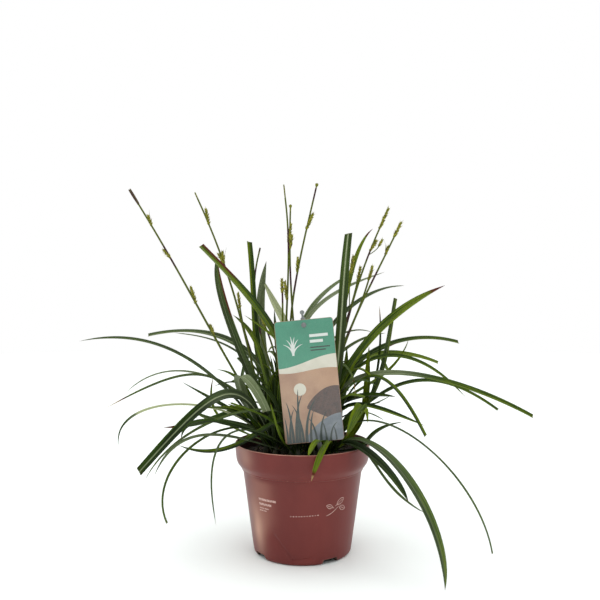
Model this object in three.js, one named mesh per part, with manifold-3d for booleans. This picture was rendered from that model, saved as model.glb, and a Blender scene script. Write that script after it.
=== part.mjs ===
// A carex sedge in its nursery pot: leafy shoots and flowering culms standing in soil, with a plant label.
// Millimetres, +Z up, the front towards -Y, and the origin at the middle of the pot's flat base.
import * as THREE from "three";
import { mergeVertices } from "three/addons/utils/BufferGeometryUtils.js";
import Module from "manifold-3d";

const wasm = await Module();
wasm.setup();

// ---- driving dimensions ----
const GAP = 0.3; // between neighbouring pieces
const POT_RIM_RADIUS = 65;
const POT_HEIGHT = 103.4;
const POT_BASE_RADIUS = 46.3;
const POT_WALL = 1.2;
const POT_FLOOR = 2.4;
const POT_SIDES = 36;
const DRAIN_COUNT = 4;
const DRAIN_WIDTH = 18;
const DRAIN_HEIGHT = 4.6;
const DRAIN_DEPTH = 14; // how far a drain slot runs in from the wall
const DRAIN_TURN = 33; // of the first slot, from the front towards +X
const SOIL_TOP = 93;
const ROOT_RISE = 3; // leaves and culms leave their sheath or foot this far above the soil
const SOIL_SIDES = 36;
const SOIL_LUMP = 0.7;

const SHOOT_COUNT = 20;
const CLUMP_RADIUS = 37;
const GOLDEN_ANGLE = 137.50776;
const SHEATH_RADIUS = 3.6;
const SHEATH_TOP_RADIUS = 2.5;
const SHEATH_DEPTH = 14;
const SHEATH_RISE = 10;
const SHEATH_SIDES = 6;
const LEAF_THICKNESS = 1;
const LEAF_FOLD = 0.16; // depth of the V of a blade, as a share of its width
const LEAF_CLEARANCE = 0.35;
const FILLERS_PER_SHOOT = 4;
const FILLER_SEED = 2024;

const CULM_RADIUS = 0.85;
const CULM_DEPTH = 12;
const CULM_FOOT_SIDES = 4;
const SPIKELET_SEED = 77;

const LABEL_WIDTH = 53.6;
const LABEL_HEIGHT = 111.6;
const LABEL_THICKNESS = 0.6;
const LABEL_CORNER = 2.5;
const LABEL_TILT = -5.5;
const STAKE_TILT = -7.6;
const STAKE_WIDTH = 4.4;
const STAKE_THICKNESS = 1.6;
const STAKE_LENGTH = 175;
const STAKE_POINT = 8; // length of the stake's pointed end
const STAKE_SHOULDER = 6.8; // height of the bar's upper end above the stud
const STAKE_NECK_WIDTH = 2.2;
const STAKE_KNOB_RADIUS = 2.1;
const STAKE_KNOB_RISE = 11.6; // of the knob's middle above the stud
const STUD = new THREE.Vector3(1, -40.5, 216.6); // where the stake's stud passes through the label
const STUD_BELOW_TOP = 5;
const STUD_SHAFT_RADIUS = 1.4;
const STUD_HEAD_RADIUS = 2.4;

// Hand-kept leaves. Heading 0 is +X and 90 is away from the front. Reach and height put the tip from the
// root at the soil, lean is the slope from upright at the root, fall is the slope below level at the tip.
// Roll turns the blade round its midrib, bow is how far it holds those slopes, swing bends it sideways.
// [shoot, heading, reach, height, lean, fall, width, roll, { bow, swing, cut, steps }]
const LEAVES = [
  // short leaves over the front of the rim
  [18, 249, 50, -6, 20, 80, 5.8, 0, { bow: 0.65, swing: 7 }],
  [5, 295, 52, 26, 38, 73, 9.2, -10, { bow: 0.9, swing: 27 }],
  [17, 273, 51, 46, -7, 95, 9.5, 0, { bow: 0.95, swing: -26, cut: true }],
  [18, 253, 71, 16, 36, 36, 6, 0, { bow: 0.35 }],
  // upright leaves, left of the middle
  [3, 140, 74, 171, -5, -55, 6.9, -20],
  [2, 187, 97, 198, 5, -45, 9.2, 50, { cut: true }],
  [4, 169, 68, 190, 25, -100, 9.5, -50, { bow: 0.2 }],
  [1, 153, 52, 207, 35, -83, 7.5, -30, { cut: true }],
  [6, 132, 47, 188, 50, -110, 8.6, -15, { bow: 0.35 }],
  [1, 113, 74, 138, 29, -80, 5.8, -5],
  [0, 175, 62, 132, 3, -33, 4.6, -50, { bow: 0.5 }],
  [9, 167, 47, 132, 14, -33, 5.8, -40, { bow: 0.35 }],
  [12, 143, 32, 118, 10, -62, 7.5, 50],
  [14, 330, 82, 55, -43, 94, 3, 40, { bow: 0.8 }],
  // right side, from the highest tips down
  [8, 329, 74, 57, -45, 8, 6.3, -50],
  [11, 54, 94, 180, -35, -17, 5.2, 25, { bow: 0.6 }],
  [0, 40, 114, 178, -45, -14, 5.2, 30, { bow: 0.6 }],
  [3, 31, 115, 167, -30, 0, 5.2, 35, { bow: 0.4 }],
  [3, 12, 63, 219, 34, -38, 4.6, 45, { bow: 0.2 }],
  [5, 351, 28, 210, 17, -83, 9.5, -80, { bow: 0.4, cut: true }],
  [5, 348, 117, 160, 7, -22, 9.5, 60, { bow: 0.35 }],
  [8, 1, 69, 149, 51, -80, 5.8, 50, { cut: true }],
  [16, 9, 53, 141, 70, -95, 3.2, 25, { bow: 0.35 }],
  [16, 15, 145, 103, -5, 15, 4.1, 50, { cut: true }],
  [11, 28, 92, 112, -16, -2, 4, 35, { bow: 0.4 }],
  [16, 27, 139, 79, -20, 21, 4.8, 50, { bow: 0.55, cut: true }],
  [8, 354, 135, 53, 4, 49, 4.1, 55, { bow: 0.65 }],
  [16, 6, 177, 34, 40, 36, 4, 50, { bow: 0.5, cut: true }],
  [13, 356, 188, 37, -14, 29, 6.3, 50, { bow: 0.55, cut: true }],
  [8, 11, 86, 108, -10, -71, 4, 40],
  [8, 322, 109, 26, 13, 60, 5.3, 50, { bow: 0.8, cut: true }],
  [13, 338, 88, 32, -4, 20, 4.6, 50, { bow: 0.65 }],
  [13, 325, 73, 37, 87, -13, 4.1, -45, { bow: 0.6 }],
  [18, 341, 146, -71, 15, 81, 3.5, 25, { bow: 0.5, cut: true }],
  [18, 314, 126, -85, 35, 95, 8.6, 10],
  [18, 320, 84, -25, 20, 60, 9.2, 25, { bow: 0.4 }],
  [18, 326, 95, -35, 52, 17, 4, 15, { bow: 0.6 }],
  // left side, from the longest tips inwards
  [12, 171, 199, 106, 26, 12, 6.3, -45, { bow: 0.4 }],
  [9, 158, 153, 110, -4, 12, 6.9, -45, { bow: 0.5, cut: true }],
  [14, 156, 133, 112, 10, -2, 4, -30],
  [4, 164, 178, 50, 26, 43, 3.5, -45, { bow: 0.4 }],
  [17, 178, 158, 41, 23, 29, 4, -45, { bow: 0.6 }],
  [17, 197, 139, 13, 15, 99, 4, -35, { bow: 0.4 }],
  [12, 205, 129, -3, 20, 46, 9.5, -65, { bow: 0.75, cut: true }],
  [7, 193, 134, -14, -27, 64, 4, -45, { bow: 0.55 }],
  [7, 205, 129, -5, 70, 67, 4, -40],
  [12, 206, 106, -48, -11, 107, 3.5, -30, { swing: -33, cut: true }],
  [15, 220, 89, -42, 45, 95, 3.5, -20, { bow: 0.75, swing: -17 }],
  [7, 203, 107, 19, -22, -26, 7.5, -35, { bow: 0.7 }],
  [9, 184, 112, 23, 21, 1, 6.9, -45, { bow: 0.65 }],
  [4, 158, 115, 63, 66, -24, 4.6, -35, { bow: 0.6 }],
  [12, 195, 80, 47, -5, -42, 6.9, -45, { bow: 0.35 }],
  // small leaves among them
  [9, 148, 84, 63, 76, -107, 3.4, -20, { bow: 0.5 }],
  [1, 200, 77, 81, 61, -8, 4, -45, { bow: 0.4, steps: 4 }],
  [9, 195, 50, 50, 33, -20, 5, -45, { steps: 4 }],
  [12, 190, 53, 47, 44, 2, 4, -45, { steps: 4 }],
  [7, 215, 111, 28, 50, 87, 4, -45, { bow: 0.3, steps: 4 }],
  [12, 230, 20, 88, -16, -21, 4, -45, { steps: 4 }],
  [15, 220, 32, 55, 27, -69, 4, -10, { bow: 0.5, steps: 4 }],
  [14, 20, 99, 113, -15, 22, 2.6, 40, { bow: 0.35, steps: 4 }],
  [16, 10, 74, 104, -11, -21, 3, 40, { bow: 0.55, steps: 4 }],
  [16, 0, 19, 100, 20, -87, 9, 40, { steps: 4 }],
  [13, 355, 34, 102, 58, -85, 9, 40, { bow: 0.4, steps: 4 }],
  [18, 330, 38, 39, 40, 88, 8, 0, { bow: 0.65, steps: 4 }],
  [13, 340, 50, 34, 3, 33, 2.2, 0, { bow: 0.55, steps: 4 }],
  [13, 350, 55, 57, -17, -31, 3, 0, { bow: 0.5, steps: 4 }],
];

// Flowering culms. [x, y, heading, reach, height, lean, fall, spikelets], and each spikelet is
// [share of the culm's length at its foot, length, width, side], where side -1 or 1 stands off the stem and
// 0 sits on it. A culm's last spikelet is its terminal one.
const CULMS = [
  [-20.5, 3.3, 185, 148, 256, 33, -58, [[0.426, 13, 4.4, 1], [0.562, 19, 5, 1], [0.746, 12, 4.6, -1],
    [0.866, 12, 4.6, 1], [0.94, 18, 4.4, 0]]],
  [-29.1, 5.6, 173, 82, 261, 15, -64, [[0.703, 14, 4.6, 1], [0.859, 18, 5, 1], [0.935, 14, 4.2, 0]]],
  [-12, 23.1, 168, 55, 168, 21, -89, [[0.85, 18, 4.6, 0]]],
  [-6.5, 13.6, 145, 42, 208, 16, -113, [[0.932, 10, 2.6, 0]]],
  [-12.4, 1.9, 164, 37, 144, 10, -60, [[0.838, 14, 4.4, 0]]],
  [-0.9, 3.4, 205, 21, 267, 19, -79, [[0.555, 20, 4.8, -1], [0.778, 20, 4.8, 1], [0.91, 20, 3.8, 0]]],
  [2, 16.4, 148, 16, 251, 5, -93, [[0.809, 16, 4.8, 1], [0.93, 14, 4.6, 0]]],
  [3.6, -6.5, 329, 14, 265, -20, -75, [[0.667, 16, 4.6, 1], [0.826, 18, 5, -1], [0.942, 12, 3.8, 0]]],
  [-4.7, -16.6, 193, 16, 175, 21, -85, [[0.891, 15, 4.6, 0]]],
  [16.3, 10.3, 11, 75, 245, 14, -63, [[0.809, 14, 4.6, -1], [0.9, 26, 5.2, 0]]],
  [23, -8.5, 7, 77, 230, 1, -65, [[0.84, 9, 4.2, 1], [0.913, 18, 5.4, 0]]],
  [17, 24.2, 24, 49, 194, -1, -82, [[0.879, 17, 4.8, 0]]],
  [11.1, -5.2, 12, 61, 190, 3, -78, [[0.893, 16, 4.8, 0]]],
];
const CULM_BOW = 0.4;
const CULM_ROLL = 90; // puts the side spikelets above or below a leaning stem

// Turns and leans in degrees and lifts in millimetres that a blade tries, in this order, to grow clear of the
// others.
const TURNS = [0, 1.5, -1.5, 3, -3, 5, -5];
const WIDE_TURNS = [...TURNS, 7.5, -7.5, 10, -10, 14, -14, 18, -18, 23, -23, 28, -28];
const LIFTS = [0, 4, -4, 8];
const LEANS = [0, 8, -8, 16, -16, 24, -24];

// ---- small helpers ----
const radians = THREE.MathUtils.degToRad;
const point = (x, y, z) => new THREE.Vector3(x, y, z);

// Linear congruential generator: the same draws in any language that holds 53-bit integers.
function drawsFrom(seed) {
  let state = seed;
  return () => {
    state = (state * 1664525 + 1013904223) % 4294967296;
    return state / 4294967296;
  };
}

function signedVolume(points, triangles) {
  let sum = 0;
  for (const [a, b, c] of triangles) {
    sum += points[a].dot(points[b].clone().cross(points[c]));
  }
  return sum / 6;
}

function solidOf(points, triangles) {
  const inward = signedVolume(points, triangles) < 0;
  const faces = triangles.map(([a, b, c]) => (inward ? [a, c, b] : [a, b, c]));
  return new wasm.Manifold(new wasm.Mesh({
    numProp: 3,
    vertProperties: Float32Array.from(points.flatMap((p) => [p.x, p.y, p.z])),
    triVerts: Uint32Array.from(faces.flat()),
  }));
}

function solidOfGeometry(geometry, matrix) {
  if (matrix) geometry.applyMatrix4(matrix);
  geometry.deleteAttribute("normal");
  geometry.deleteAttribute("uv");
  const merged = mergeVertices(geometry, 1e-4);
  const position = merged.getAttribute("position");
  const vertex = (_, i) => new THREE.Vector3().fromBufferAttribute(position, i);
  const points = Array.from({ length: position.count }, vertex);
  const index = Array.from(merged.getIndex().array);
  const triangles = [];
  for (let i = 0; i < index.length; i += 3) {
    const [a, b, c] = index.slice(i, i + 3);
    if (a !== b && b !== c && c !== a) triangles.push([a, b, c]);
  }
  return solidOf(points, triangles);
}

const fuse = (solids) => solids.reduce((sum, solid) => sum.add(solid));

// A lathe stands along Y, so it is turned to stand along Z.
function lathe(profile, sides) {
  const outline = profile.map(([r, z]) => new THREE.Vector2(r, z));
  return new THREE.LatheGeometry(outline, sides).rotateX(Math.PI / 2);
}

function roundPrism(x, y, low, high, lowRadius, highRadius, sides) {
  const profile = [[0, low], [lowRadius, low], [highRadius, high], [0, high]];
  return solidOfGeometry(lathe(profile, sides).translate(x, y, 0));
}

// Rings of points joined into one closed tube, with a point at each end.
function tubeOfRings(start, rings, end) {
  const count = rings[0].length;
  const points = [start, ...rings.flat(), end];
  const triangles = [];
  const id = (ring, i) => 1 + ring * count + (i % count);
  for (let i = 0; i < count; i += 1) {
    triangles.push([0, id(0, i + 1), id(0, i)]);
    for (let ring = 0; ring < rings.length - 1; ring += 1) {
      // The diagonal runs from an edge vertex on both faces of a blade, so the two faces split alike.
      if (i % 2 === 0) {
        triangles.push([id(ring, i), id(ring, i + 1), id(ring + 1, i + 1)]);
        triangles.push([id(ring, i), id(ring + 1, i + 1), id(ring + 1, i)]);
      } else {
        triangles.push([id(ring, i), id(ring, i + 1), id(ring + 1, i)]);
        triangles.push([id(ring, i + 1), id(ring + 1, i + 1), id(ring + 1, i)]);
      }
    }
    triangles.push([id(rings.length - 1, i), id(rings.length - 1, i + 1), points.length - 1]);
  }
  return solidOf(points, triangles);
}

// ---- the arch that leaves and culms follow ----
function archPoint(arch, t) {
  const chord = Math.hypot(arch.reach, arch.height);
  const hold = arch.bow * chord;
  const lean = radians(arch.lean);
  const fall = radians(arch.fall);
  const out = [0, hold * Math.sin(lean), arch.reach - hold * Math.cos(fall), arch.reach];
  const up = [ROOT_RISE, ROOT_RISE + hold * Math.cos(lean), arch.height + hold * Math.sin(fall), arch.height];
  const weights = [(1 - t) ** 3, 3 * (1 - t) ** 2 * t, 3 * (1 - t) * t ** 2, t ** 3];
  const blend = (values) => values.reduce((sum, value, i) => sum + value * weights[i], 0);
  const heading = radians(arch.heading);
  const sideways = arch.swing * Math.sin(Math.PI * t);
  return point(
    arch.x + blend(out) * Math.cos(heading) - sideways * Math.sin(heading),
    arch.y + blend(out) * Math.sin(heading) + sideways * Math.cos(heading),
    SOIL_TOP + blend(up),
  );
}

const FRAME_STEP = 0.002;

function archFrame(arch, t) {
  const before = archPoint(arch, Math.max(0, t - FRAME_STEP));
  const after = archPoint(arch, Math.min(1, t + FRAME_STEP));
  const along = after.sub(before).normalize();
  const heading = radians(arch.heading);
  const left = point(-Math.sin(heading), Math.cos(heading), 0);
  left.addScaledVector(along, -left.dot(along)).normalize();
  const face = along.clone().cross(left);
  const roll = radians(arch.roll);
  const side = left.clone().multiplyScalar(Math.cos(roll)).addScaledVector(face, Math.sin(roll));
  return { at: archPoint(arch, t), along, side, face: along.clone().cross(side) };
}

// ---- leaves ----
const LEAF_WIDEST = 0.4;
const LEAF_ROOT_SHARE = 0.4;
const CUT_END = 0.985;

function leafWidth(leaf, t) {
  if (t < LEAF_WIDEST) {
    const rise = t / LEAF_WIDEST;
    return leaf.width * (LEAF_ROOT_SHARE + (1 - LEAF_ROOT_SHARE) * rise * rise * (3 - 2 * rise));
  }
  const along = (t - LEAF_WIDEST) / (1 - LEAF_WIDEST);
  return leaf.width * (leaf.cut ? 1 - 0.25 * along * along : 1 - along ** 3.6);
}

function leafStations(leaf) {
  const stations = Array.from({ length: leaf.steps }, (_, i) => i / leaf.steps);
  return leaf.cut ? [...stations, CUT_END] : stations;
}

// A blade is a thin V in section: left edge, top of the midrib, right edge, underside of the midrib.
function leafSolid(leaf, clearance = 0) {
  const rings = leafStations(leaf).map((t) => {
    const { at, side, face } = archFrame(leaf, t);
    const width = leafWidth(leaf, t);
    const half = width / 2 + clearance;
    const valley = -LEAF_FOLD * width;
    const thick = LEAF_THICKNESS / 2 + clearance;
    return [
      at.clone().addScaledVector(side, half),
      at.clone().addScaledVector(face, valley + thick),
      at.clone().addScaledVector(side, -half),
      at.clone().addScaledVector(face, valley - thick),
    ];
  });
  const root = archFrame(leaf, 0);
  const start = root.at.clone().addScaledVector(root.face, -LEAF_FOLD * leafWidth(leaf, 0));
  start.addScaledVector(root.along, -1);
  const tip = archFrame(leaf, 1);
  return tubeOfRings(start, rings, tip.at.addScaledVector(tip.along, clearance));
}

function shootPlace(index) {
  const radius = CLUMP_RADIUS * Math.sqrt((index + 0.5) / SHOOT_COUNT);
  const angle = radians(index * GOLDEN_ANGLE);
  return { x: radius * Math.cos(angle), y: radius * Math.sin(angle) };
}

const LEAF_BOW = 0.45;
const LONG_LEAF_STEPS = 6;
const FILLER_STEPS = 4;

function keptLeaf([shoot, heading, reach, height, lean, fall, width, roll, extras = {}]) {
  return {
    shoot, heading, reach, height, lean, fall, width, roll, ...shootPlace(shoot),
    bow: LEAF_BOW, swing: 0, cut: false, steps: LONG_LEAF_STEPS, ...extras,
  };
}

// Seeded leaves fill the tuft: every other one upright, the rest short at the front, low at the sides and
// long at the back.
const between = (low, high, share) => low + (high - low) * share;
const FILLER_STEP_ANGLE = 222.5; // between a shoot's fillers, so that they spread all round it
const FILLER_LEAN = [2, 28];
const FILLER_WIDTH = [3.8, 6.5];
const FILLER_ROLL = [-35, 35];
const FILLER_SWING = [-6, 6];
const BACK_SECTOR = [45, 135];
const FRONT_SECTOR = [225, 315];
// The least and greatest reach, height and fall of each kind of filler.
const UPRIGHT = [[8, 38], [45, 108], [-80, -30]];
const BACK = [[70, 165], [-30, 80], [20, 75]];
const FRONT = [[25, 52], [22, 70], [0, 60]];
const SIDE = [[30, 78], [30, 100], [-45, 45]];

function fillerKind(order, heading) {
  if (order % 2 === 0) return UPRIGHT;
  if (heading > BACK_SECTOR[0] && heading < BACK_SECTOR[1]) return BACK;
  if (heading > FRONT_SECTOR[0] && heading < FRONT_SECTOR[1]) return FRONT;
  return SIDE;
}

function fillerLeaf(shoot, order, draw) {
  const [turn, size, rise, slope, drop, breadth, spin] = Array.from({ length: 7 }, draw);
  const heading = (shoot * GOLDEN_ANGLE + (order + 0.7 * turn) * FILLER_STEP_ANGLE) % 360;
  const [reach, height, fall] = fillerKind(order, heading);
  return {
    shoot, heading, ...shootPlace(shoot), steps: FILLER_STEPS, cut: order % 3 === 1,
    reach: between(...reach, size), height: between(...height, rise), lean: between(...FILLER_LEAN, slope),
    fall: between(...fall, drop), width: between(...FILLER_WIDTH, breadth), bow: LEAF_BOW,
    roll: between(...FILLER_ROLL, (spin + turn) % 1), swing: between(...FILLER_SWING, spin),
  };
}

// ---- culms ----
const CULM_STEPS = 5;
const STEM_SIDES = 3;
const STEM_IN_SPIKELET = 0.01; // shares of the culm's length
const STEM_POINT = 0.005;

function culmArch([x, y, heading, reach, height, lean, fall]) {
  return { x, y, heading, reach, height, lean, fall, bow: CULM_BOW, swing: 0, roll: CULM_ROLL };
}

// The stem ends inside its terminal spikelet.
function stemSolid(arch, end) {
  const ringAt = (t, radius) => {
    const { at, side, face } = archFrame(arch, t);
    return Array.from({ length: STEM_SIDES }, (_, i) => {
      const angle = (i * 2 * Math.PI) / STEM_SIDES;
      const across = side.clone().multiplyScalar(radius * Math.cos(angle));
      return at.clone().add(across).addScaledVector(face, radius * Math.sin(angle));
    });
  };
  const rings = Array.from({ length: CULM_STEPS + 1 }, (_, i) => (
    ringAt((end * i) / CULM_STEPS, CULM_RADIUS * (1 - 0.04 * i))
  ));
  return tubeOfRings(archPoint(arch, 0), rings, archPoint(arch, end + STEM_POINT));
}

// The foot of a culm stands straight down in its hole in the soil.
function culmFoot(arch) {
  const top = SOIL_TOP + ROOT_RISE + 0.5;
  return roundPrism(arch.x, arch.y, SOIL_TOP - CULM_DEPTH, top, CULM_RADIUS, CULM_RADIUS, CULM_FOOT_SIDES);
}

const SIDE_ANGLE = 11; // of a side spikelet from the stem
const FLORET_PITCH = 3.2;
const FLORET_LENGTH = 3.2; // of a floret's point beyond its middle
const FLORETS_AROUND = 4;
const FLORET_TWIST = radians(22); // from one row of florets to the next
const CORE_SHARE = 0.22; // radius of a spikelet's core, as a share of its width
const CORE_SPAN = [0.06, 0.86]; // of the spikelet's length, where its florets stand

// A spikelet is a slim core closed to a point at each end, and every face of the core is raised to a
// floret that points up and out.
function spikeletSolid(arch, [share, length, width, side], draw) {
  const { at, along, side: across } = archFrame(arch, share);
  const axis = along.clone();
  axis.addScaledVector(across, side * Math.tan(radians(SIDE_ANGLE))).normalize();
  const foot = at.clone().addScaledVector(axis, -1);
  const u = axis.clone().cross(point(0, 1, 0)).normalize();
  const v = axis.clone().cross(u);
  const rows = Math.round(length / FLORET_PITCH);
  const outward = (angle) => u.clone().multiplyScalar(Math.cos(angle)).addScaledVector(v, Math.sin(angle));
  const placed = (climb, angle, radius) => (
    foot.clone().addScaledVector(axis, climb * length).addScaledVector(outward(angle), radius)
  );
  const climbAt = (row) => CORE_SPAN[0] + (CORE_SPAN[1] - CORE_SPAN[0]) * (row / rows);
  const angleAt = (row, i) => row * FLORET_TWIST + (i * 2 * Math.PI) / FLORETS_AROUND;
  const points = [foot, placed(1, 0, 0)];
  for (let row = 0; row <= rows; row += 1) {
    const radius = width * CORE_SHARE * (0.7 + 0.3 * Math.sin(Math.PI * climbAt(row)));
    for (let i = 0; i < FLORETS_AROUND; i += 1) points.push(placed(climbAt(row), angleAt(row, i), radius));
  }
  const id = (row, i) => 2 + row * FLORETS_AROUND + (i % FLORETS_AROUND);
  const triangles = [];
  for (let i = 0; i < FLORETS_AROUND; i += 1) {
    triangles.push([0, id(0, i + 1), id(0, i)]);
    triangles.push([1, id(rows, i), id(rows, i + 1)]);
    for (let row = 0; row < rows; row += 1) {
      const climb = climbAt(row + 0.5);
      const reach = (width / 2) * (1 - 0.35 * climb) * (0.85 + 0.3 * draw());
      const tip = points.length;
      points.push(placed(climb + FLORET_LENGTH / length, angleAt(row + 0.5, i + 0.5), reach));
      triangles.push([id(row, i), id(row, i + 1), tip], [id(row, i + 1), id(row + 1, i + 1), tip]);
      triangles.push([id(row + 1, i + 1), id(row + 1, i), tip], [id(row + 1, i), id(row, i), tip]);
    }
  }
  return solidOf(points, triangles);
}

function culmSolid(row, arch) {
  const draw = drawsFrom(SPIKELET_SEED);
  const spikelets = row[7].map((spikelet) => spikeletSolid(arch, spikelet, draw));
  return fuse([culmFoot(arch), stemSolid(arch, row[7].at(-1)[0] + STEM_IN_SPIKELET), ...spikelets]);
}

// ---- pot ----
const POT_OUTSIDE = [
  [0, 0], [POT_BASE_RADIUS, 0], [57, 75], [57.4, 77.5], [58.1, 79.6], [60.6, 82.4], [62.5, 85], [63.7, 88.5],
  [POT_RIM_RADIUS, POT_HEIGHT - 0.7], [POT_RIM_RADIUS - 0.5, POT_HEIGHT],
];
const POT_INSIDE = [
  [POT_RIM_RADIUS - POT_WALL - 0.2, POT_HEIGHT], [62.4, 89], [61.1, 85.6], [59.3, 83.2], [56.8, 80.6],
  [55.7, 75.4], [POT_BASE_RADIUS - POT_WALL, POT_FLOOR], [0, POT_FLOOR],
];

// A slot with sloping ends through the wall at the base, which runs in under the soil.
function drainSlot(index) {
  const half = DRAIN_WIDTH / 2;
  const shape = new THREE.Shape();
  shape.moveTo(-half, -1);
  shape.lineTo(half, -1);
  shape.lineTo(half - 2, DRAIN_HEIGHT);
  shape.lineTo(-half + 2, DRAIN_HEIGHT);
  const geometry = new THREE.ExtrudeGeometry(shape, { depth: DRAIN_DEPTH, bevelEnabled: false });
  geometry.rotateX(Math.PI / 2);
  geometry.translate(0, DRAIN_DEPTH - POT_BASE_RADIUS - 3, 0);
  geometry.rotateZ(radians(DRAIN_TURN + (index * 360) / DRAIN_COUNT));
  return solidOfGeometry(geometry);
}

function potSolid() {
  let pot = solidOfGeometry(lathe([...POT_OUTSIDE, ...POT_INSIDE], POT_SIDES));
  for (let i = 0; i < DRAIN_COUNT; i += 1) pot = pot.subtract(drainSlot(i));
  return pot;
}

// ---- soil ----
const SOIL_SURFACE = [[50, 91.3], [26, 91.5], [0, 91.7]];
const SOIL_AT_WALL = [62.1, 90.4];

function soilSolid(holes) {
  const inside = POT_INSIDE.slice(1, -1).reverse().map(([r, z]) => [r - GAP, z + GAP]);
  const profile = [[0, POT_FLOOR + GAP], ...inside, SOIL_AT_WALL, ...SOIL_SURFACE];
  const geometry = lathe(profile, SOIL_SIDES);
  const position = geometry.getAttribute("position");
  for (let i = 0; i < position.count; i += 1) {
    const [x, y, z] = [position.getX(i), position.getY(i), position.getZ(i)];
    const onSurface = z > SOIL_AT_WALL[1] + 0.4 && Math.hypot(x, y) > 1;
    if (onSurface) position.setZ(i, z + SOIL_LUMP * Math.sin(x * 1.9 + 0.7) * Math.cos(y * 2.3));
  }
  return solidOfGeometry(geometry).subtract(fuse(holes));
}

// ---- label and stake ----
function tiltedAt(origin, tilt) {
  return new THREE.Matrix4().makeTranslation(origin.x, origin.y, origin.z)
    .multiply(new THREE.Matrix4().makeRotationY(radians(tilt)));
}

// A flat outline in X and Z, extruded from front to back.
function plate(shape, front, thickness) {
  const options = { depth: thickness, bevelEnabled: false, curveSegments: 4 };
  const geometry = new THREE.ExtrudeGeometry(shape, options);
  return geometry.rotateX(Math.PI / 2).translate(0, front + thickness, 0);
}

function disc(radius, height = 0) {
  return new THREE.Shape().absarc(0, height, radius, 0, 2 * Math.PI, false);
}

function roundedCard(low, high) {
  const half = LABEL_WIDTH / 2;
  const c = LABEL_CORNER;
  const shape = new THREE.Shape();
  shape.absarc(half - c, low + c, c, -Math.PI / 2, 0, false);
  shape.absarc(half - c, high - c, c, 0, Math.PI / 2, false);
  shape.absarc(-half + c, high - c, c, Math.PI / 2, Math.PI, false);
  shape.absarc(-half + c, low + c, c, Math.PI, 1.5 * Math.PI, false);
  return shape;
}

function labelSolid() {
  const shape = roundedCard(STUD_BELOW_TOP - LABEL_HEIGHT, STUD_BELOW_TOP);
  shape.holes.push(new THREE.Path().absarc(0, 0, STUD_SHAFT_RADIUS + GAP, 0, 2 * Math.PI, true));
  return solidOfGeometry(plate(shape, 0, LABEL_THICKNESS), tiltedAt(STUD, LABEL_TILT));
}

// The outline of the stake's bar, from a height above its end up to another, with a pointed end.
function barOutline(half, high, low) {
  const bar = new THREE.Shape();
  bar.moveTo(-half, high);
  bar.lineTo(half, high);
  bar.lineTo(half, low + STAKE_POINT);
  bar.lineTo(0, low);
  bar.lineTo(-half, low + STAKE_POINT);
  return bar;
}

// The bar stands behind the card and the stud passes forward through it.
function stakeSolid() {
  const back = LABEL_THICKNESS + GAP;
  const frame = tiltedAt(STUD, STAKE_TILT);
  const bar = barOutline(STAKE_WIDTH / 2, STAKE_SHOULDER, -STAKE_LENGTH);
  const neck = barOutline(STAKE_NECK_WIDTH / 2, STAKE_KNOB_RISE, STAKE_SHOULDER - STAKE_POINT - 1);
  return fuse([
    plate(bar, back, STAKE_THICKNESS),
    plate(neck, back, STAKE_THICKNESS),
    plate(disc(STAKE_KNOB_RADIUS, STAKE_KNOB_RISE), back, STAKE_THICKNESS),
    plate(disc(STUD_SHAFT_RADIUS), -GAP - 0.5, back + GAP + 1),
    plate(disc(STUD_HEAD_RADIUS), -GAP - 1, 1),
  ].map((geometry) => solidOfGeometry(geometry, frame)));
}

function stakeHole() {
  const slot = barOutline(STAKE_WIDTH / 2 + GAP, -STAKE_LENGTH / 2, -STAKE_LENGTH - 1);
  return solidOfGeometry(plate(slot, LABEL_THICKNESS, STAKE_THICKNESS + 2 * GAP), tiltedAt(STUD, STAKE_TILT));
}

// ---- assembly ----
const MATERIALS = {
  pot: new THREE.MeshStandardMaterial({ color: 0x7a4743, roughness: 0.45, metalness: 0 }),
  soil: new THREE.MeshStandardMaterial({ color: 0x1c1613, roughness: 1, metalness: 0 }),
  label: new THREE.MeshStandardMaterial({ color: 0x3f8f7c, roughness: 0.35, metalness: 0 }),
  stake: new THREE.MeshStandardMaterial({ color: 0x8c8f8e, roughness: 0.4, metalness: 0 }),
  leaf: new THREE.MeshStandardMaterial({ color: 0x3a4a2c, roughness: 0.4, metalness: 0 }),
  culm: new THREE.MeshStandardMaterial({ color: 0x7f8f45, roughness: 0.6, metalness: 0 }),
};

function meshOf(name, solid, material) {
  const { vertProperties, triVerts } = solid.getMesh();
  const geometry = new THREE.BufferGeometry();
  geometry.setAttribute("position", new THREE.BufferAttribute(new Float32Array(vertProperties), 3));
  geometry.setIndex(new THREE.BufferAttribute(new Uint32Array(triVerts), 1));
  const mesh = new THREE.Mesh(geometry, material);
  mesh.name = name;
  return mesh;
}

const nodes = [];

function addNode(name, solid, material) {
  nodes.push({ name, solid, material });
}

function boxesMeet(a, b) {
  return [0, 1, 2].every((i) => a.min[i] <= b.max[i] && b.min[i] <= a.max[i]);
}

function clearOf(solid, others) {
  const box = solid.boundingBox();
  return others.every((other) => !boxesMeet(box, other.boundingBox()) || solid.intersect(other).isEmpty());
}

// The first lean, lift and turn at which the piece stands clear of the others, or null.
function placedClear(piece, solidWith, others, turns, leans) {
  for (const lean of leans) {
    for (const lift of LIFTS) {
      for (const turn of turns) {
        const moved = { ...piece };
        moved.lean += lean;
        moved.height += lift;
        moved.heading += turn;
        if (clearOf(solidWith(moved), others)) return moved;
      }
    }
  }
  return null;
}

addNode("pot", potSolid(), MATERIALS.pot);
addNode("label_card", labelSolid(), MATERIALS.label);
addNode("label_stake", stakeSolid(), MATERIALS.stake);

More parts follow.
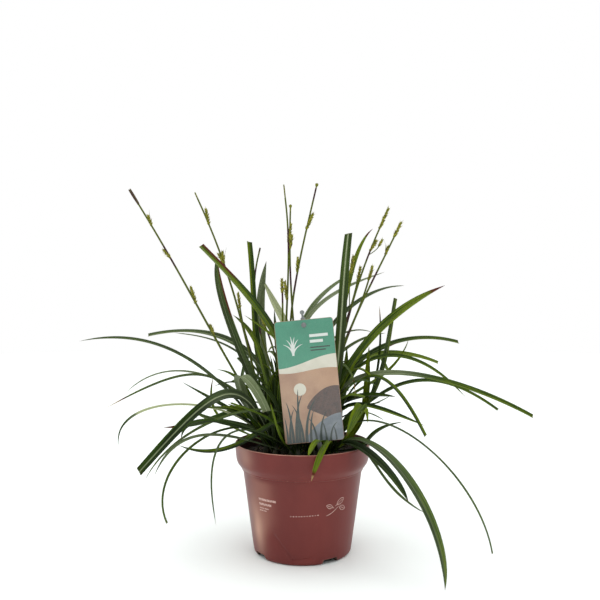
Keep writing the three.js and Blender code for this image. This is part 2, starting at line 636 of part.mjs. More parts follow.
const shoots = Array.from({ length: SHOOT_COUNT }, (_, index) => {
  const { x, y } = shootPlace(index);
  const low = SOIL_TOP - SHEATH_DEPTH;
  const high = SOIL_TOP + SHEATH_RISE;
  const foot = roundPrism(x, y, low, SOIL_TOP - 1, SHEATH_RADIUS, SHEATH_RADIUS, SHEATH_SIDES);
  const neck = roundPrism(x, y, SOIL_TOP - 1.5, high, SHEATH_RADIUS, SHEATH_TOP_RADIUS, SHEATH_SIDES);
  return { name: `shoot_${String(index + 1).padStart(2, "0")}`, solid: foot.add(neck) };
});

function holeInSoil(x, y, depth, radius, sides) {
  return roundPrism(x, y, SOIL_TOP - depth - GAP, SOIL_TOP + 5, radius, radius, sides);
}

const holes = shoots.map((_, index) => {
  const { x, y } = shootPlace(index);
  return holeInSoil(x, y, SHEATH_DEPTH, SHEATH_RADIUS + GAP * 1.2, SHEATH_SIDES);
});
for (const [x, y] of CULMS) {
  holes.push(holeInSoil(x, y, CULM_DEPTH, CULM_RADIUS + GAP * 1.5, CULM_FOOT_SIDES));
}
holes.push(stakeHole());
addNode("soil", soilSolid(holes), MATERIALS.soil);

const culms = [];
CULMS.forEach((row, index) => {
  const others = [...nodes.map((node) => node.solid), ...shoots.map((shoot) => shoot.solid), ...culms];
  const arch = placedClear(culmArch(row), (moved) => culmSolid(row, moved), others, TURNS, LEANS);
  culms.push(culmSolid(row, arch));
  addNode(`culm_${String(index + 1).padStart(2, "0")}`, culms.at(-1), MATERIALS.culm);
});

function growLeaf(leaf, turns, leans) {
  const others = nodes.map((node) => node.solid);
  shoots.forEach((shoot, index) => {
    if (index !== leaf.shoot) others.push(shoot.solid);
  });
  const placed = placedClear(leaf, (moved) => leafSolid(moved, LEAF_CLEARANCE), others, turns, leans);
  if (placed) shoots[leaf.shoot].solid = shoots[leaf.shoot].solid.add(leafSolid(placed));
  return placed;
}

for (const row of LEAVES) growLeaf(keptLeaf(row), TURNS, LEANS);

const draw = drawsFrom(FILLER_SEED);
for (let order = 0; order < FILLERS_PER_SHOOT; order += 1) {
  for (let shoot = 0; shoot < SHOOT_COUNT; shoot += 1) {
    growLeaf(fillerLeaf(shoot, order, draw), WIDE_TURNS, [0]);
  }
}

for (const shoot of shoots) addNode(shoot.name, shoot.solid, MATERIALS.leaf);

const carex = new THREE.Group();
for (const { name, solid, material } of nodes) carex.add(meshOf(name, solid, material));

export default carex;
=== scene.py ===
# A carex sedge in its nursery pot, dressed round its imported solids.
# Shapes are worked out in millimetres in the part's frame, and MM scales them to Blender's metres.
from math import cos, hypot, log, pi, radians, sin, sqrt, tan

import bmesh
import bpy
import numpy as np
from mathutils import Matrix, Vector, kdtree


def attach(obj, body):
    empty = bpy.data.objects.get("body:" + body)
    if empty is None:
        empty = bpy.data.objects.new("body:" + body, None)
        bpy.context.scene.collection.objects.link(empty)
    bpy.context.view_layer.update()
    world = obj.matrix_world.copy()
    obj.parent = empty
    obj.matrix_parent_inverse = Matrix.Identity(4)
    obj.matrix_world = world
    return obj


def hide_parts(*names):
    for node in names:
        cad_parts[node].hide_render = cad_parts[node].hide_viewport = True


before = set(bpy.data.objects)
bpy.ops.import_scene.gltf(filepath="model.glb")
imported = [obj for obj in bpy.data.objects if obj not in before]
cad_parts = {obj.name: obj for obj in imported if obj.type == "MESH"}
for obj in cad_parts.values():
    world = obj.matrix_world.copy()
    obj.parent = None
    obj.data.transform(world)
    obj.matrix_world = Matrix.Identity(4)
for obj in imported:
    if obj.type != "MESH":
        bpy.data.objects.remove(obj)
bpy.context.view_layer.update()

MM = 0.001
TAU = 2 * pi

# ---- the part's driving sizes, in mm and degrees ----
SOIL_TOP = 93
ROOT_RISE = 3
SHOOT_COUNT = 20
CLUMP_RADIUS = 37
GOLDEN_ANGLE = 137.50776
LEAF_FOLD = 0.16
LEAF_BOW = 0.45
FILLERS_PER_SHOOT = 4
FILLER_SEED = 2024
CULM_BOW = 0.4
CULM_ROLL = 90
CULM_DEPTH = 12
SIDE_ANGLE = 11
STUD = (1, -40.5, 216.6)
LABEL_WIDTH, LABEL_HEIGHT = 53.6, 111.6
LABEL_CORNER = 2.5
LABEL_THICKNESS = 0.6
LABEL_TILT = -5.5
STAKE_TILT = -7.6
# The card's edges, measured from its stud.
CARD_TOP = 5
CARD_LOW = CARD_TOP - LABEL_HEIGHT
CARD_LEFT, CARD_RIGHT = -LABEL_WIDTH / 2, LABEL_WIDTH / 2

# Leaves: shoot, heading, reach, height, lean, fall, width, roll, look, then bow and swing where they aren't
# LEAF_BOW and 0. Headings are in degrees from +X. A look is letters, said again for more: g painted grey
# sheen that stands for the overhead light's reflection, G such sheen that fades outwards, w whiter painted
# sheen, y yellow-green that also paints backlit glow, d dark, m pale midrib, r red tip, t tan tip, e and E
# red margins, f and v one half painted lighter or darker as light falls across the fold, F painted dark to
# light across, s slim, b broad, c cut off, and k few steps in its solid.
LEAVES = [
    # short leaves over the front of the rim
    (18, 249, 50, -6, 20, 80, 5.8, 0, "yyt", 0.65, 7),
    (5, 295, 52, 26, 38, 73, 9.2, -10, "yy", 0.9, 27),
    (17, 273, 51, 46, -7, 95, 9.5, 0, "gggc", 0.95, -26),
    (18, 253, 71, 16, 36, 36, 6, 0, "yy", 0.35),
    # upright leaves, left of the middle
    (3, 140, 74, 171, -5, -55, 6.9, -20, "gggwmmb"),
    (2, 187, 97, 198, 5, -45, 9.2, 50, "yFEc"),
    (4, 169, 68, 190, 25, -100, 9.5, -50, "ge", 0.2),
    (1, 153, 52, 207, 35, -83, 7.5, -30, "yfc"),
    (6, 132, 47, 188, 50, -110, 8.6, -15, "gggb", 0.35),
    (1, 113, 74, 138, 29, -80, 5.8, -5, "g"),
    (0, 175, 62, 132, 3, -33, 4.6, -50, "yy", 0.5),
    (9, 167, 47, 132, 14, -33, 5.8, -40, "y", 0.35),
    (12, 143, 32, 118, 10, -62, 7.5, 50, "y"),
    (14, 330, 82, 55, -43, 94, 3, 40, "gt", 0.8),
    # right side, from the highest tips down
    (8, 329, 74, 57, -45, 8, 6.3, -50, "d"),
    (11, 54, 94, 180, -35, -17, 5.2, 25, "gg", 0.6),
    (0, 40, 114, 178, -45, -14, 5.2, 30, "ggg", 0.6),
    (3, 31, 115, 167, -30, 0, 5.2, 35, "g", 0.4),
    (3, 12, 63, 219, 34, -38, 4.6, 45, "yyyrb", 0.2),
    (5, 351, 28, 210, 17, -83, 9.5, -80, "dgmmmc", 0.4),
    (5, 348, 117, 160, 7, -22, 9.5, 60, "yyr", 0.35),
    (8, 1, 69, 149, 51, -80, 5.8, 50, "ygvc"),
    (16, 9, 53, 141, 70, -95, 3.2, 25, "rt", 0.35),
    (16, 15, 145, 103, -5, 15, 4.1, 50, "ybc"),
    (11, 28, 92, 112, -16, -2, 4, 35, "g", 0.4),
    (16, 27, 139, 79, -20, 21, 4.8, 50, "yybc", 0.55),
    (8, 354, 135, 53, 4, 49, 4.1, 55, "y", 0.65),
    (16, 6, 177, 34, 40, 36, 4, 50, "yc", 0.5),
    (13, 356, 188, 37, -14, 29, 6.3, 50, "gggGyc", 0.55),
    (8, 11, 86, 108, -10, -71, 4, 40, "y"),
    (8, 322, 109, 26, 13, 60, 5.3, 50, "dyfsc", 0.8),
    (13, 338, 88, 32, -4, 20, 4.6, 50, "v", 0.65),
    (13, 325, 73, 37, 87, -13, 4.1, -45, "d", 0.6),
    (18, 341, 146, -71, 15, 81, 3.5, 25, "dgsc", 0.5),
    (18, 314, 126, -85, 35, 95, 8.6, 10, "dgf"),
    (18, 320, 84, -25, 20, 60, 9.2, 25, "d", 0.4),
    (18, 326, 95, -35, 52, 17, 4, 15, "g", 0.6),
    # left side, from the longest tips inwards
    (12, 171, 199, 106, 26, 12, 6.3, -45, "dgss", 0.4),
    (9, 158, 153, 110, -4, 12, 6.9, -45, "gmc", 0.5),
    (14, 156, 133, 112, 10, -2, 4, -30, "dgs"),
    (4, 164, 178, 50, 26, 43, 3.5, -45, "gggs", 0.4),
    (17, 178, 158, 41, 23, 29, 4, -45, "rtsgy", 0.6),
    (17, 197, 139, 13, 15, 99, 4, -35, "ggggwsGG", 0.4),
    (12, 205, 129, -3, 20, 46, 9.5, -65, "ddgmmGc", 0.75),
    (7, 193, 134, -14, -27, 64, 4, -45, "ygs", 0.55),
    (7, 205, 129, -5, 70, 67, 4, -40, "ggs"),
    (12, 206, 106, -48, -11, 107, 3.5, -30, "yc", 0.45, -33),
    (15, 220, 89, -42, 45, 95, 3.5, -20, "gs", 0.75, -17),
    (7, 203, 107, 19, -22, -26, 7.5, -35, "dvs", 0.7),
    (9, 184, 112, 23, 21, 1, 6.9, -45, "r", 0.65),
    (4, 158, 115, 63, 66, -24, 4.6, -35, "d", 0.6),
    (12, 195, 80, 47, -5, -42, 6.9, -45, "g", 0.35),
    # small leaves among them
    (9, 148, 84, 63, 76, -107, 3.4, -20, "yyyt", 0.5),
    (1, 200, 77, 81, 61, -8, 4, -45, "yk", 0.4),
    (9, 195, 50, 50, 33, -20, 5, -45, "yyyk"),
    (12, 190, 53, 47, 44, 2, 4, -45, "yyfk"),
    (7, 215, 111, 28, 50, 87, 4, -45, "dk", 0.3),
    (12, 230, 20, 88, -16, -21, 4, -45, "yk"),
    (15, 220, 32, 55, 27, -69, 4, -10, "yyyk", 0.5),
    (14, 20, 99, 113, -15, 22, 2.6, 40, "gk", 0.35),
    (16, 10, 74, 104, -11, -21, 3, 40, "rk", 0.55),
    (16, 0, 19, 100, 20, -87, 9, 40, "yyyyk"),
    (13, 355, 34, 102, 58, -85, 9, 40, "yyyyk", 0.4),
    (18, 330, 38, 39, 40, 88, 8, 0, "yyyk", 0.65),
    (13, 340, 50, 34, 3, 33, 2.2, 0, "gk", 0.55),
    (13, 350, 55, 57, -17, -31, 3, 0, "gk", 0.5),
]

# Culms: x, y, heading, reach, height, lean, fall, then spikelets of share, length, width, side and kind:
# f seed florets with a bract, n without, m slender pollen spikelet, p a purple-brown one, h one with a head.
CULMS = [
    (-20.5, 3.3, 185, 148, 256, 33, -58, [(0.426, 13, 4.4, 1, "f"), (0.562, 19, 5, 1, "f"),
     (0.746, 12, 4.6, -1, "f"), (0.866, 12, 4.6, 1, "f"), (0.94, 18, 4.4, 0, "p")]),
    (-29.1, 5.6, 173, 82, 261, 15, -64, [(0.703, 14, 4.6, 1, "f"), (0.859, 18, 5, 1, "f"),
     (0.935, 14, 4.2, 0, "m"), (0.7, 14, 3.4, -1, "n")]),
    (-12, 23.1, 168, 55, 168, 21, -89, [(0.85, 18, 4.6, 0, "f")]),
    (-6.5, 13.6, 145, 42, 208, 16, -113, [(0.932, 10, 2.6, 0, "p")]),
    (-12.4, 1.9, 164, 37, 144, 10, -60, [(0.838, 14, 4.4, 0, "f")]),
    (-0.9, 3.4, 205, 21, 267, 19, -79, [(0.555, 20, 4.8, -1, "f"), (0.778, 20, 4.8, 1, "f"),
     (0.91, 20, 3.8, 0, "m")]),
    (2, 16.4, 148, 16, 251, 5, -93, [(0.809, 16, 4.8, 1, "f"), (0.93, 14, 4.6, 0, "h")]),
    (3.6, -6.5, 329, 14, 265, -20, -75, [(0.667, 16, 4.6, 1, "f"), (0.826, 18, 5, -1, "f"),
     (0.942, 12, 3.8, 0, "h")]),
    (-4.7, -16.6, 193, 16, 175, 21, -85, [(0.891, 15, 4.6, 0, "f")]),
    (16.3, 10.3, 11, 75, 245, 14, -63, [(0.809, 14, 4.6, -1, "f"), (0.9, 26, 5.2, 0, "f")]),
    (23, -8.5, 7, 77, 230, 1, -65, [(0.84, 9, 4.2, 1, "f"), (0.913, 18, 5.4, 0, "f")]),
    (17, 24.2, 24, 49, 194, -1, -82, [(0.879, 17, 4.8, 0, "f")]),
    (11.1, -5.2, 12, 61, 190, 3, -78, [(0.893, 16, 4.8, 0, "f")]),
]
# Spikelets on thin branches, too fine for the solids, by their culm's place in the list: the share where the
# branch leaves, then the spikelet's foot, tip and width.
BRANCHED = {
    9: (0.79, (76.8, 25, 293.6), (80.6, 25.4, 300.8), 3.4),
    11: (0.72, (48, 18, 265.9), (51, 18, 285.3), 4.8),
}

# A leaf of the solids took the first of these turns, lifts and leans at which it stood clear of the others.
TURNS = [0, 1.5, -1.5, 3, -3, 5, -5]
WIDE_TURNS = TURNS + [7.5, -7.5, 10, -10, 14, -14, 18, -18, 23, -23, 28, -28]
LIFTS = [0, 4, -4, 8]
LEANS = [0, 8, -8, 16, -16, 24, -24]


# ---- numbers ----
def draws_from(seed):
    """The part's own linear congruential generator."""
    state = seed
    while True:
        state = (state * 1664525 + 1013904223) % 4294967296
        yield state / 4294967296


def between(low, high, share):
    return low + (high - low) * share


def smooth_step(x):
    x = np.clip(x, 0, 1)
    return x * x * (3 - 2 * x)


def bell(x):
    return np.exp(-(x**2))


def unit(v):
    return v / np.maximum(np.linalg.norm(v, axis=-1, keepdims=True), 1e-12)


def wave_noise(x, y, seed):
    """Smooth noise of about -1 to 1, with features about 1 unit wide."""
    draw = draws_from(seed)
    total = 0
    for _ in range(7):
        turn, shift = TAU * next(draw), TAU * next(draw)
        pace = between(2.2, 5.2, next(draw))
        total = total + np.sin(pace * (x * cos(turn) + y * sin(turn)) + shift)
    return total / 3.5


def round_about(count):
    """Even angles once round."""
    return np.arange(count) * TAU / count


def rows_of(*columns):
    """Columns of one value or many, side by side as rows."""
    return np.stack(np.broadcast_arrays(*columns), axis=-1)


def turned(radius, angle, z):
    """Points at a radius, angle and height round the part's upright axis."""
    return rows_of(radius * np.cos(angle), radius * np.sin(angle), z)


def spun(points, turn):
    """The points turned about the upright axis."""
    cosine, sine = cos(turn), sin(turn)
    return points @ np.array([[cosine, sine, 0], [-sine, cosine, 0], [0, 0, 1]])


def dense_line(line, step):
    """The line with more points, so that none are much further apart than a step."""
    points = [line[0]]
    for a, b in zip(line, line[1:]):
        pieces = max(1, int(np.linalg.norm(b - a) / step))
        points.extend(a + (b - a) * (k + 1) / pieces for k in range(pieces))
    return np.array(points)


# ---- mesh building ----
def placed(name, data):
    """A new object in the scene."""
    made = bpy.data.objects.new(name, data)
    bpy.context.scene.collection.objects.link(made)
    return made


def shaded(mesh, smooth_angle, materials):
    """The mesh with its materials, smooth but for edges that are sharper than an angle."""
    mesh.polygons.foreach_set("use_smooth", [True] * len(mesh.polygons))
    mesh.update()
    mesh.set_sharp_from_angle(angle=radians(smooth_angle))
    for material in materials:
        mesh.materials.append(material)
    return mesh


class Shape:
    """Gathers points and faces, with a look and a UV per point and a material slot per face."""

    def __init__(self):
        self.points, self.looks, self.uvs, self.faces, self.slots = [], [], [], [], []
        self.count = 0

    def add(self, points, faces, look=(0, 0, 0, 0), uv=(0, 0), slot=0):
        points = np.asarray(points, float).reshape(-1, 3)
        n = len(points)
        self.points.append(points)
        self.looks.append(np.broadcast_to(np.reshape(look, (-1, 4)), (n, 4)))
        self.uvs.append(np.broadcast_to(np.reshape(uv, (-1, 2)), (n, 2)))
        self.faces.extend(tuple(self.count + i for i in face) for face in faces)
        self.slots.extend([slot] * len(faces))
        self.count += n

    def tube(self, rings, look=(0, 0, 0, 0), uv=(0, 0), slot=0):
        """Rings of points, all of one length, joined side by side and closed by flat ends."""
        rows, around = rings.shape[:2]
        faces = [
            (r * around + i, r * around + (i + 1) % around,
             (r + 1) * around + (i + 1) % around, (r + 1) * around + i)
            for r in range(rows - 1)
            for i in range(around)
        ]
        faces.append(tuple(range(around))[::-1])
        faces.append(tuple((rows - 1) * around + i for i in range(around)))
        self.add(rings, faces, look, uv, slot)
        return self

    def build(self, name, materials, smooth_angle=50):
        mesh = bpy.data.meshes.new(name)
        mesh.from_pydata((np.concatenate(self.points) * MM).tolist(), [], self.faces)
        mesh.polygons.foreach_set("material_index", self.slots)
        look = mesh.attributes.new("look", "FLOAT_COLOR", "POINT")
        look.data.foreach_set("color", np.concatenate(self.looks).astype(np.float32).ravel())
        corners = np.zeros(len(mesh.loops), np.int32)
        mesh.loops.foreach_get("vertex_index", corners)
        uv = np.concatenate(self.uvs)[corners].astype(np.float32)
        mesh.uv_layers.new(name="UVMap").data.foreach_set("uv", uv.ravel())
        return placed(name, shaded(mesh, smooth_angle, materials))


def finished(piece, slot, *nodes):
    """The piece rides on the part and stands for the nodes it is given; the slot is not used."""
    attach(piece, "root")
    if nodes:
        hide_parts(*nodes)


# ---- materials ----
def srgb(levels):
    """Red, green and blue from 0 to 255 as seen, to linear."""
    shares = [level / 255 for level in levels]
    return [c / 12.92 if c <= 0.04045 else ((c + 0.055) / 1.055) ** 2.4 for c in shares]


class Network:
    """Adds nodes to a tree. Their inputs take values, colours from 0 to 255 or other nodes' outputs."""

    def __init__(self, tree):
        self.tree = tree

    def put(self, target, value):
        if isinstance(value, bpy.types.NodeSocket):
            self.tree.links.new(value, target)
        else:
            target.default_value = (*srgb(value), 1) if target.type == "RGBA" else value

    def node(self, kind, inputs=(), **settings):
        made = self.tree.nodes.new("ShaderNode" + kind)
        for key, value in settings.items():
            setattr(made, key, value)
        for key, value in dict(inputs).items():
            self.put(made.inputs[key], value)
        return made


class Nodes(Network):
    """A Principled material whose node network is written as nested calls."""

    def __init__(self, name, **settings):
        self.material = bpy.data.materials.new(name)
        self.material.use_nodes = True
        super().__init__(self.material.node_tree)
        self.sockets = {s.name.lower(): s for s in self.tree.nodes["Principled BSDF"].inputs}
        for socket, value in settings.items():
            self.put(self.sockets[socket.replace("_", " ")], value)

    def math(self, operation, a, b=0.0):
        return self.node("Math", {0: a, 1: b}, operation=operation).outputs[0]

    def plus(self, a, b):
        return self.math("ADD", a, b)

    def minus(self, a, b):
        return self.math("SUBTRACT", a, b)

    def times(self, a, b):
        return self.math("MULTIPLY", a, b)

    def ramp(self, value, low, high, out_low=0.0, out_high=1.0):
        inputs = enumerate((value, low, high, out_low, out_high))
        return self.node("MapRange", inputs, interpolation_type="SMOOTHSTEP").outputs[0]

    def mix(self, share, a, b):
        return self.node("Mix", {0: share, 6: a, 7: b}, data_type="RGBA").outputs[2]

    def noise(self, scale, detail=3.0, vector=None):
        place = self.place() if vector is None else vector
        inputs = {"Vector": place, "Scale": scale, "Detail": detail, "Roughness": 0.55}
        return self.node("TexNoise", inputs).outputs["Fac"]

    def place(self):
        return self.node("TexCoord").outputs["Object"]

    def drawn_out(self, share):
        """The place with its height squeezed to a share, which draws noise out upwards."""
        return self.node("Mapping", {"Vector": self.place(), "Scale": (1, 1, share)}).outputs[0]

    def uv(self):
        return self.node("SeparateXYZ", {0: self.node("TexCoord").outputs["UV"]}).outputs[:2]

    def look(self):
        made = self.node("Attribute", attribute_name="look")
        return *self.node("SeparateColor", {0: made.outputs["Color"]}).outputs, made.outputs["Alpha"]

    def bump(self, height, distance, strength):
        inputs = {"Height": height, "Distance": distance, "Strength": strength}
        self.put(self.sockets["normal"], self.node("Bump", inputs).outputs[0])

    def painted(self, colour, *layers):
        """The material with its colour laid on in layers, each a share and a colour."""
        for share, paint in layers:
            colour = self.mix(share, colour, paint)
        self.put(self.sockets["base color"], colour)
        return self.material


def leaf_material():
    """Blade: dark to yellow-green (partly painted backlit glow), ribbed lengthways, with a pale midrib, a
    painted grey sheen for the reflection of overhead light, and dry tips.
    """
    m = Nodes("sedge_blade", specular_ior_level=0.15)
    tone, grey, brown, top = m.look()
    across, along = m.uv()
    blotch = m.noise(95.0)
    streaks = m.node("CombineXYZ", {0: m.times(across, 9.0), 1: m.times(along, 0.25)})
    streak = m.noise(1.0, 2.0, streaks.outputs[0])
    tone = m.plus(tone, m.ramp(streak, 0.3, 0.7, -0.3, 0.3))
    tone = m.plus(tone, m.times(m.minus(blotch, 0.5), 0.3))
    rib = m.math("SINE", m.times(across, TAU * 9))
    off_middle = m.math("ABSOLUTE", m.minus(across, 0.5))
    m.put(m.sockets["roughness"], m.ramp(blotch, 0.3, 0.7, 0.36, 0.52))
    m.bump(m.plus(m.times(rib, 0.5), streak), 0.00012, 0.6)
    return m.painted(
        (13, 30, 3),
        (m.ramp(tone, 0.0, 0.5), (44, 70, 3)),
        # yellow-green, which also paints the glow of backlit leaves
        (m.ramp(tone, 0.5, 1.1), (108, 128, 0)),
        (m.times(m.minus(1.0, top), 0.2), (80, 98, 28)),
        # painted sheen: a streaky grey reflection of the overhead light
        (m.times(grey, m.ramp(streak, 0.32, 0.68, 0.45, 1.0)), (108, 121, 86)),
        # painted highlight: near-white where the painted sheen is strongest
        (m.ramp(grey, 1.12, 1.8), (186, 194, 150)),
        (m.times(m.ramp(rib, -1.0, 1.0), 0.3), (18, 28, 10)),
        # pale midrib, brighter where the painted sheen is
        (m.times(m.ramp(off_middle, 0.075, 0.02), m.plus(0.1, m.times(grey, 0.4))), (156, 166, 132)),
        (m.ramp(brown, 0.05, 0.5), m.mix(m.ramp(brown, 0.55, 1.0), (88, 36, 22), (170, 142, 98))),
    )


def sheath_material():
    """Leaf bases: dark green to brown, with straw fibres."""
    m = Nodes("sedge_sheath", roughness=0.65)
    tone, _, brown, _ = m.look()
    fibre = m.noise(260.0, 4.0, m.drawn_out(0.12))
    m.bump(fibre, 0.0004, 0.7)
    return m.painted(
        (26, 32, 16),
        (tone, (66, 68, 38)),
        (m.ramp(fibre, 0.5, 0.75, 0.0, 0.5), (120, 110, 76)),
        (m.times(brown, m.ramp(fibre, 0.3, 0.6)), (38, 26, 18)),
    )


def culm_material():
    """Culm: olive green with purple-brown stretches."""
    m = Nodes("sedge_culm", roughness=0.5, specular_ior_level=0.3)
    tone, _, brown, _ = m.look()
    grain = m.noise(420.0, 2.0, m.drawn_out(0.1))
    m.bump(grain, 0.0001, 0.5)
    stretches = (m.ramp(brown, 0.35, 0.75), (58, 28, 26))
    return m.painted((42, 60, 0), (tone, (84, 97, 4)), (m.times(grain, 0.3), (120, 124, 26)), stretches)


def floret_material():
    """Utricles and scales: olive, straw and brown by each floret's own look."""
    m = Nodes("sedge_floret", roughness=0.6, specular_ior_level=0.3)
    tone, purple, brown, _ = m.look()
    mottle = m.noise(900.0, 2.0)
    m.bump(mottle, 0.0001, 0.6)
    dark = m.mix(purple, (70, 46, 14), (66, 40, 42))
    return m.painted(
        (70, 86, 10), (tone, (160, 158, 40)), (m.times(mottle, 0.35), (190, 182, 80)), (brown, dark)
    )


def hair_material():
    """Stigmas and bristles: fine straw."""
    m = Nodes("sedge_stigma", roughness=0.6)
    return m.painted((168, 160, 96), (m.times(m.look()[0], m.noise(500.0)), (108, 104, 48)))


def pot_material():
    """Recycled plastic: brown-red, slightly mottled, satin, scuffed along the ledge and foot, rubbed pale
    along the rim, with a painted highlight and painted reflection down its left side and painted shade
    inside.
    """
    m = Nodes("pot_plastic", specular_ior_level=0.2)
    cloud = m.noise(22.0, 4.0, m.drawn_out(0.5))
    flow = m.noise(60.0, 3.0, m.drawn_out(0.08))
    fine, speck = m.noise(700.0), m.noise(2100.0, 1.0)
    inner_shade, rubbed_and_highlight, wear, _ = m.look()
    scuff = m.times(wear, m.ramp(fine, 0.5, 0.66))
    m.put(m.sockets["roughness"], m.plus(m.ramp(cloud, 0.3, 0.7, 0.32, 0.42), m.times(scuff, 0.2)))
    m.bump(m.plus(m.times(fine, 0.2), m.times(flow, 1.2)), 0.0004, 0.35)
    return m.painted(
        (106, 46, 43),
        (m.ramp(cloud, 0.3, 0.7), (118, 53, 49)),
        (m.ramp(flow, 0.55, 0.8, 0.0, 0.2), (122, 56, 49)),
        (m.ramp(speck, 0.72, 0.8, 0.0, 0.3), (150, 100, 90)),
        (m.times(scuff, 0.5), (170, 112, 98)),
        # pale rubbed rim, paler drain slot, and the painted highlight and painted reflection on the left
        # side
        (m.times(rubbed_and_highlight, m.ramp(cloud, 0.2, 0.8, 0.48, 0.68)), (208, 164, 142)),
        # painted shade inside the pot, broken up by fine noise
        (m.times(inner_shade, m.ramp(fine, 0.35, 0.6, 0.5, 0.95)), (30, 20, 17)),
    )


def print_material():
    """Pale pad print on the pot, worn through in places."""
    m = Nodes("pot_print", roughness=0.5)
    return m.painted((208, 172, 162), (m.ramp(m.noise(900.0), 0.42, 0.7), (136, 86, 78)))


def soil_material():
    """Moist peat: near-black with brown and tan fibres."""
    m = Nodes("peat", roughness=0.9, specular_ior_level=0.25)
    coarse, fine = m.noise(260.0, 5.0), m.noise(1600.0)
    m.bump(m.plus(coarse, m.times(fine, 0.3)), 0.0012, 0.8)
    bits = (m.ramp(fine, 0.62, 0.75, 0.0, 0.7), (92, 70, 50))
    return m.painted((26, 24, 21), (m.ramp(coarse, 0.4, 0.7), (60, 50, 42)), bits)


def crumb_material():
    """Peat crumbs, bark chips and fibres, each with a shade of its own."""
    m = Nodes("peat_crumbs", roughness=0.85, specular_ior_level=0.3)
    tone, _, brown, _ = m.look()
    grain = m.noise(1400.0)
    m.bump(grain, 0.0004, 0.7)
    return m.painted((18, 14, 12), (tone, (70, 52, 38)), (m.times(brown, grain), (168, 140, 104)))


def card_material(name, colour, other, scale):
    """Glossy laminated print in one mottled ink."""
    m = Nodes(name, roughness=0.3, coat_weight=0.35, coat_roughness=0.12)
    cloud = m.noise(scale, 4.0)
    m.bump(cloud, 0.0002, 0.15)
    dots = (m.times(m.noise(2600.0, 1.0), 0.12), (250, 250, 250))
    return m.painted(colour, (m.ramp(cloud, 0.3, 0.7), other), dots)


def stake_material():
    """Grey plastic with faint mould lines, darker low down: part soil stain, part painted shade under the
    leaves.
    """
    m = Nodes("stake_plastic", roughness=0.3, ior=1.49)
    cloud = m.noise(180.0, 3.0, m.drawn_out(0.2))
    m.bump(cloud, 0.0002, 0.3)
    rise = m.node("SeparateXYZ", {0: m.place()}).outputs[2]
    # dark below the card: soil stain and painted shade where the leaves close over the stake
    stain_and_shade = m.ramp(m.plus(rise, m.times(cloud, 0.012)), 0.108, 0.122, 0.85, 0.0)
    return m.painted((116, 120, 119), (m.ramp(cloud, 0.3, 0.7), (146, 150, 148)), (stain_and_shade, (34, 32, 26)))


def floor_material():
    m = Nodes("pale_floor", roughness=0.7, specular_ior_level=0.2)
    return m.painted((244, 249, 247), (m.noise(3.0), (246, 251, 249)))


# ---- arches: leaves and culms follow the same curve as their solids ----
def arch_points(arch, t):
    t = np.asarray(t, float)
    reach, height = arch["reach"], arch["height"]
    hold = arch["bow"] * hypot(reach, height)
    lean, fall, heading = (radians(arch[angle]) for angle in ("lean", "fall", "heading"))
    out = (0, hold * sin(lean), reach - hold * cos(fall), reach)
    up = (ROOT_RISE, ROOT_RISE + hold * cos(lean), height + hold * sin(fall), height)
    weights = ((1 - t) ** 3, 3 * (1 - t) ** 2 * t, 3 * (1 - t) * t**2, t**3)
    away = sum(w * v for w, v in zip(weights, out))
    rise = sum(w * v for w, v in zip(weights, up))
    sideways = arch["swing"] * np.sin(pi * t)
    x = arch["x"] + away * cos(heading) - sideways * sin(heading)
    y = arch["y"] + away * sin(heading) + sideways * cos(heading)
    return rows_of(x, y, SOIL_TOP + rise)


def arch_frames(arch, t, twist=0.0):
    """Points with their direction, side and face; twist turns the blade further towards its tip."""
    t = np.asarray(t, float)
    step = 0.002
    along = unit(arch_points(arch, np.minimum(t + step, 1)) - arch_points(arch, np.maximum(t - step, 0)))
    heading = radians(arch["heading"])
    left = np.broadcast_to([-sin(heading), cos(heading), 0.0], along.shape)
    left = unit(left - along * (left * along).sum(-1, keepdims=True))
    roll = np.radians(arch["roll"] + twist * t)[:, None]
    side = left * np.cos(roll) + np.cross(along, left) * np.sin(roll)
    return arch_points(arch, t), along, side, np.cross(along, side)


def shoot_place(index):
    radius = CLUMP_RADIUS * sqrt((index + 0.5) / SHOOT_COUNT)
    angle = radians(index * GOLDEN_ANGLE)
    return radius * cos(angle), radius * sin(angle)


def leaf_of(shoot, heading, reach, height, lean, fall, width, roll, look, bow=LEAF_BOW, swing=0):
    """A leaf by the names of its values, with what the letters of its look say of its form."""
    x, y = shoot_place(shoot)
    return dict(
        x=x, y=y, heading=heading, reach=reach, height=height, lean=lean, fall=fall, width=width, roll=roll,
        look=look, bow=bow, swing=swing, cut="c" in look, steps=4 if "k" in look else 6,
        plain=not look.strip("ck"),
    )


# The least and greatest reach, height and fall of each kind of filling leaf.
UPRIGHT = ((8, 38), (45, 108), (-80, -30))
BACK = ((70, 165), (-30, 80), (20, 75))
FRONT = ((25, 52), (22, 70), (0, 60))
SIDE = ((30, 78), (30, 100), (-45, 45))
# their yellow-green also paints the glow of backlit leaves
BRIGHT_FILLERS = [(8, 1), (17, 0), (3, 1)]  # shoot and order of the yellow-green ones


def filler_leaf(shoot, order, draw):
    turn, size, rise, slope, drop, breadth, spin = (next(draw) for _ in range(7))
    heading = (shoot * GOLDEN_ANGLE + (order + 0.7 * turn) * 222.5) % 360
    kind = BACK if 45 < heading < 135 else FRONT if 225 < heading < 315 else SIDE
    reach, height, fall = UPRIGHT if order % 2 == 0 else kind
    look = ("yyy" if (shoot, order) in BRIGHT_FILLERS else "") + ("ck" if order % 3 == 1 else "k")
    return leaf_of(
        shoot, heading, between(*reach, size), between(*height, rise), between(2, 28, slope),
        between(*fall, drop), between(3.8, 6.5, breadth), between(-35, 35, (spin + turn) % 1), look,
        swing=between(-6, 6, spin),
    )


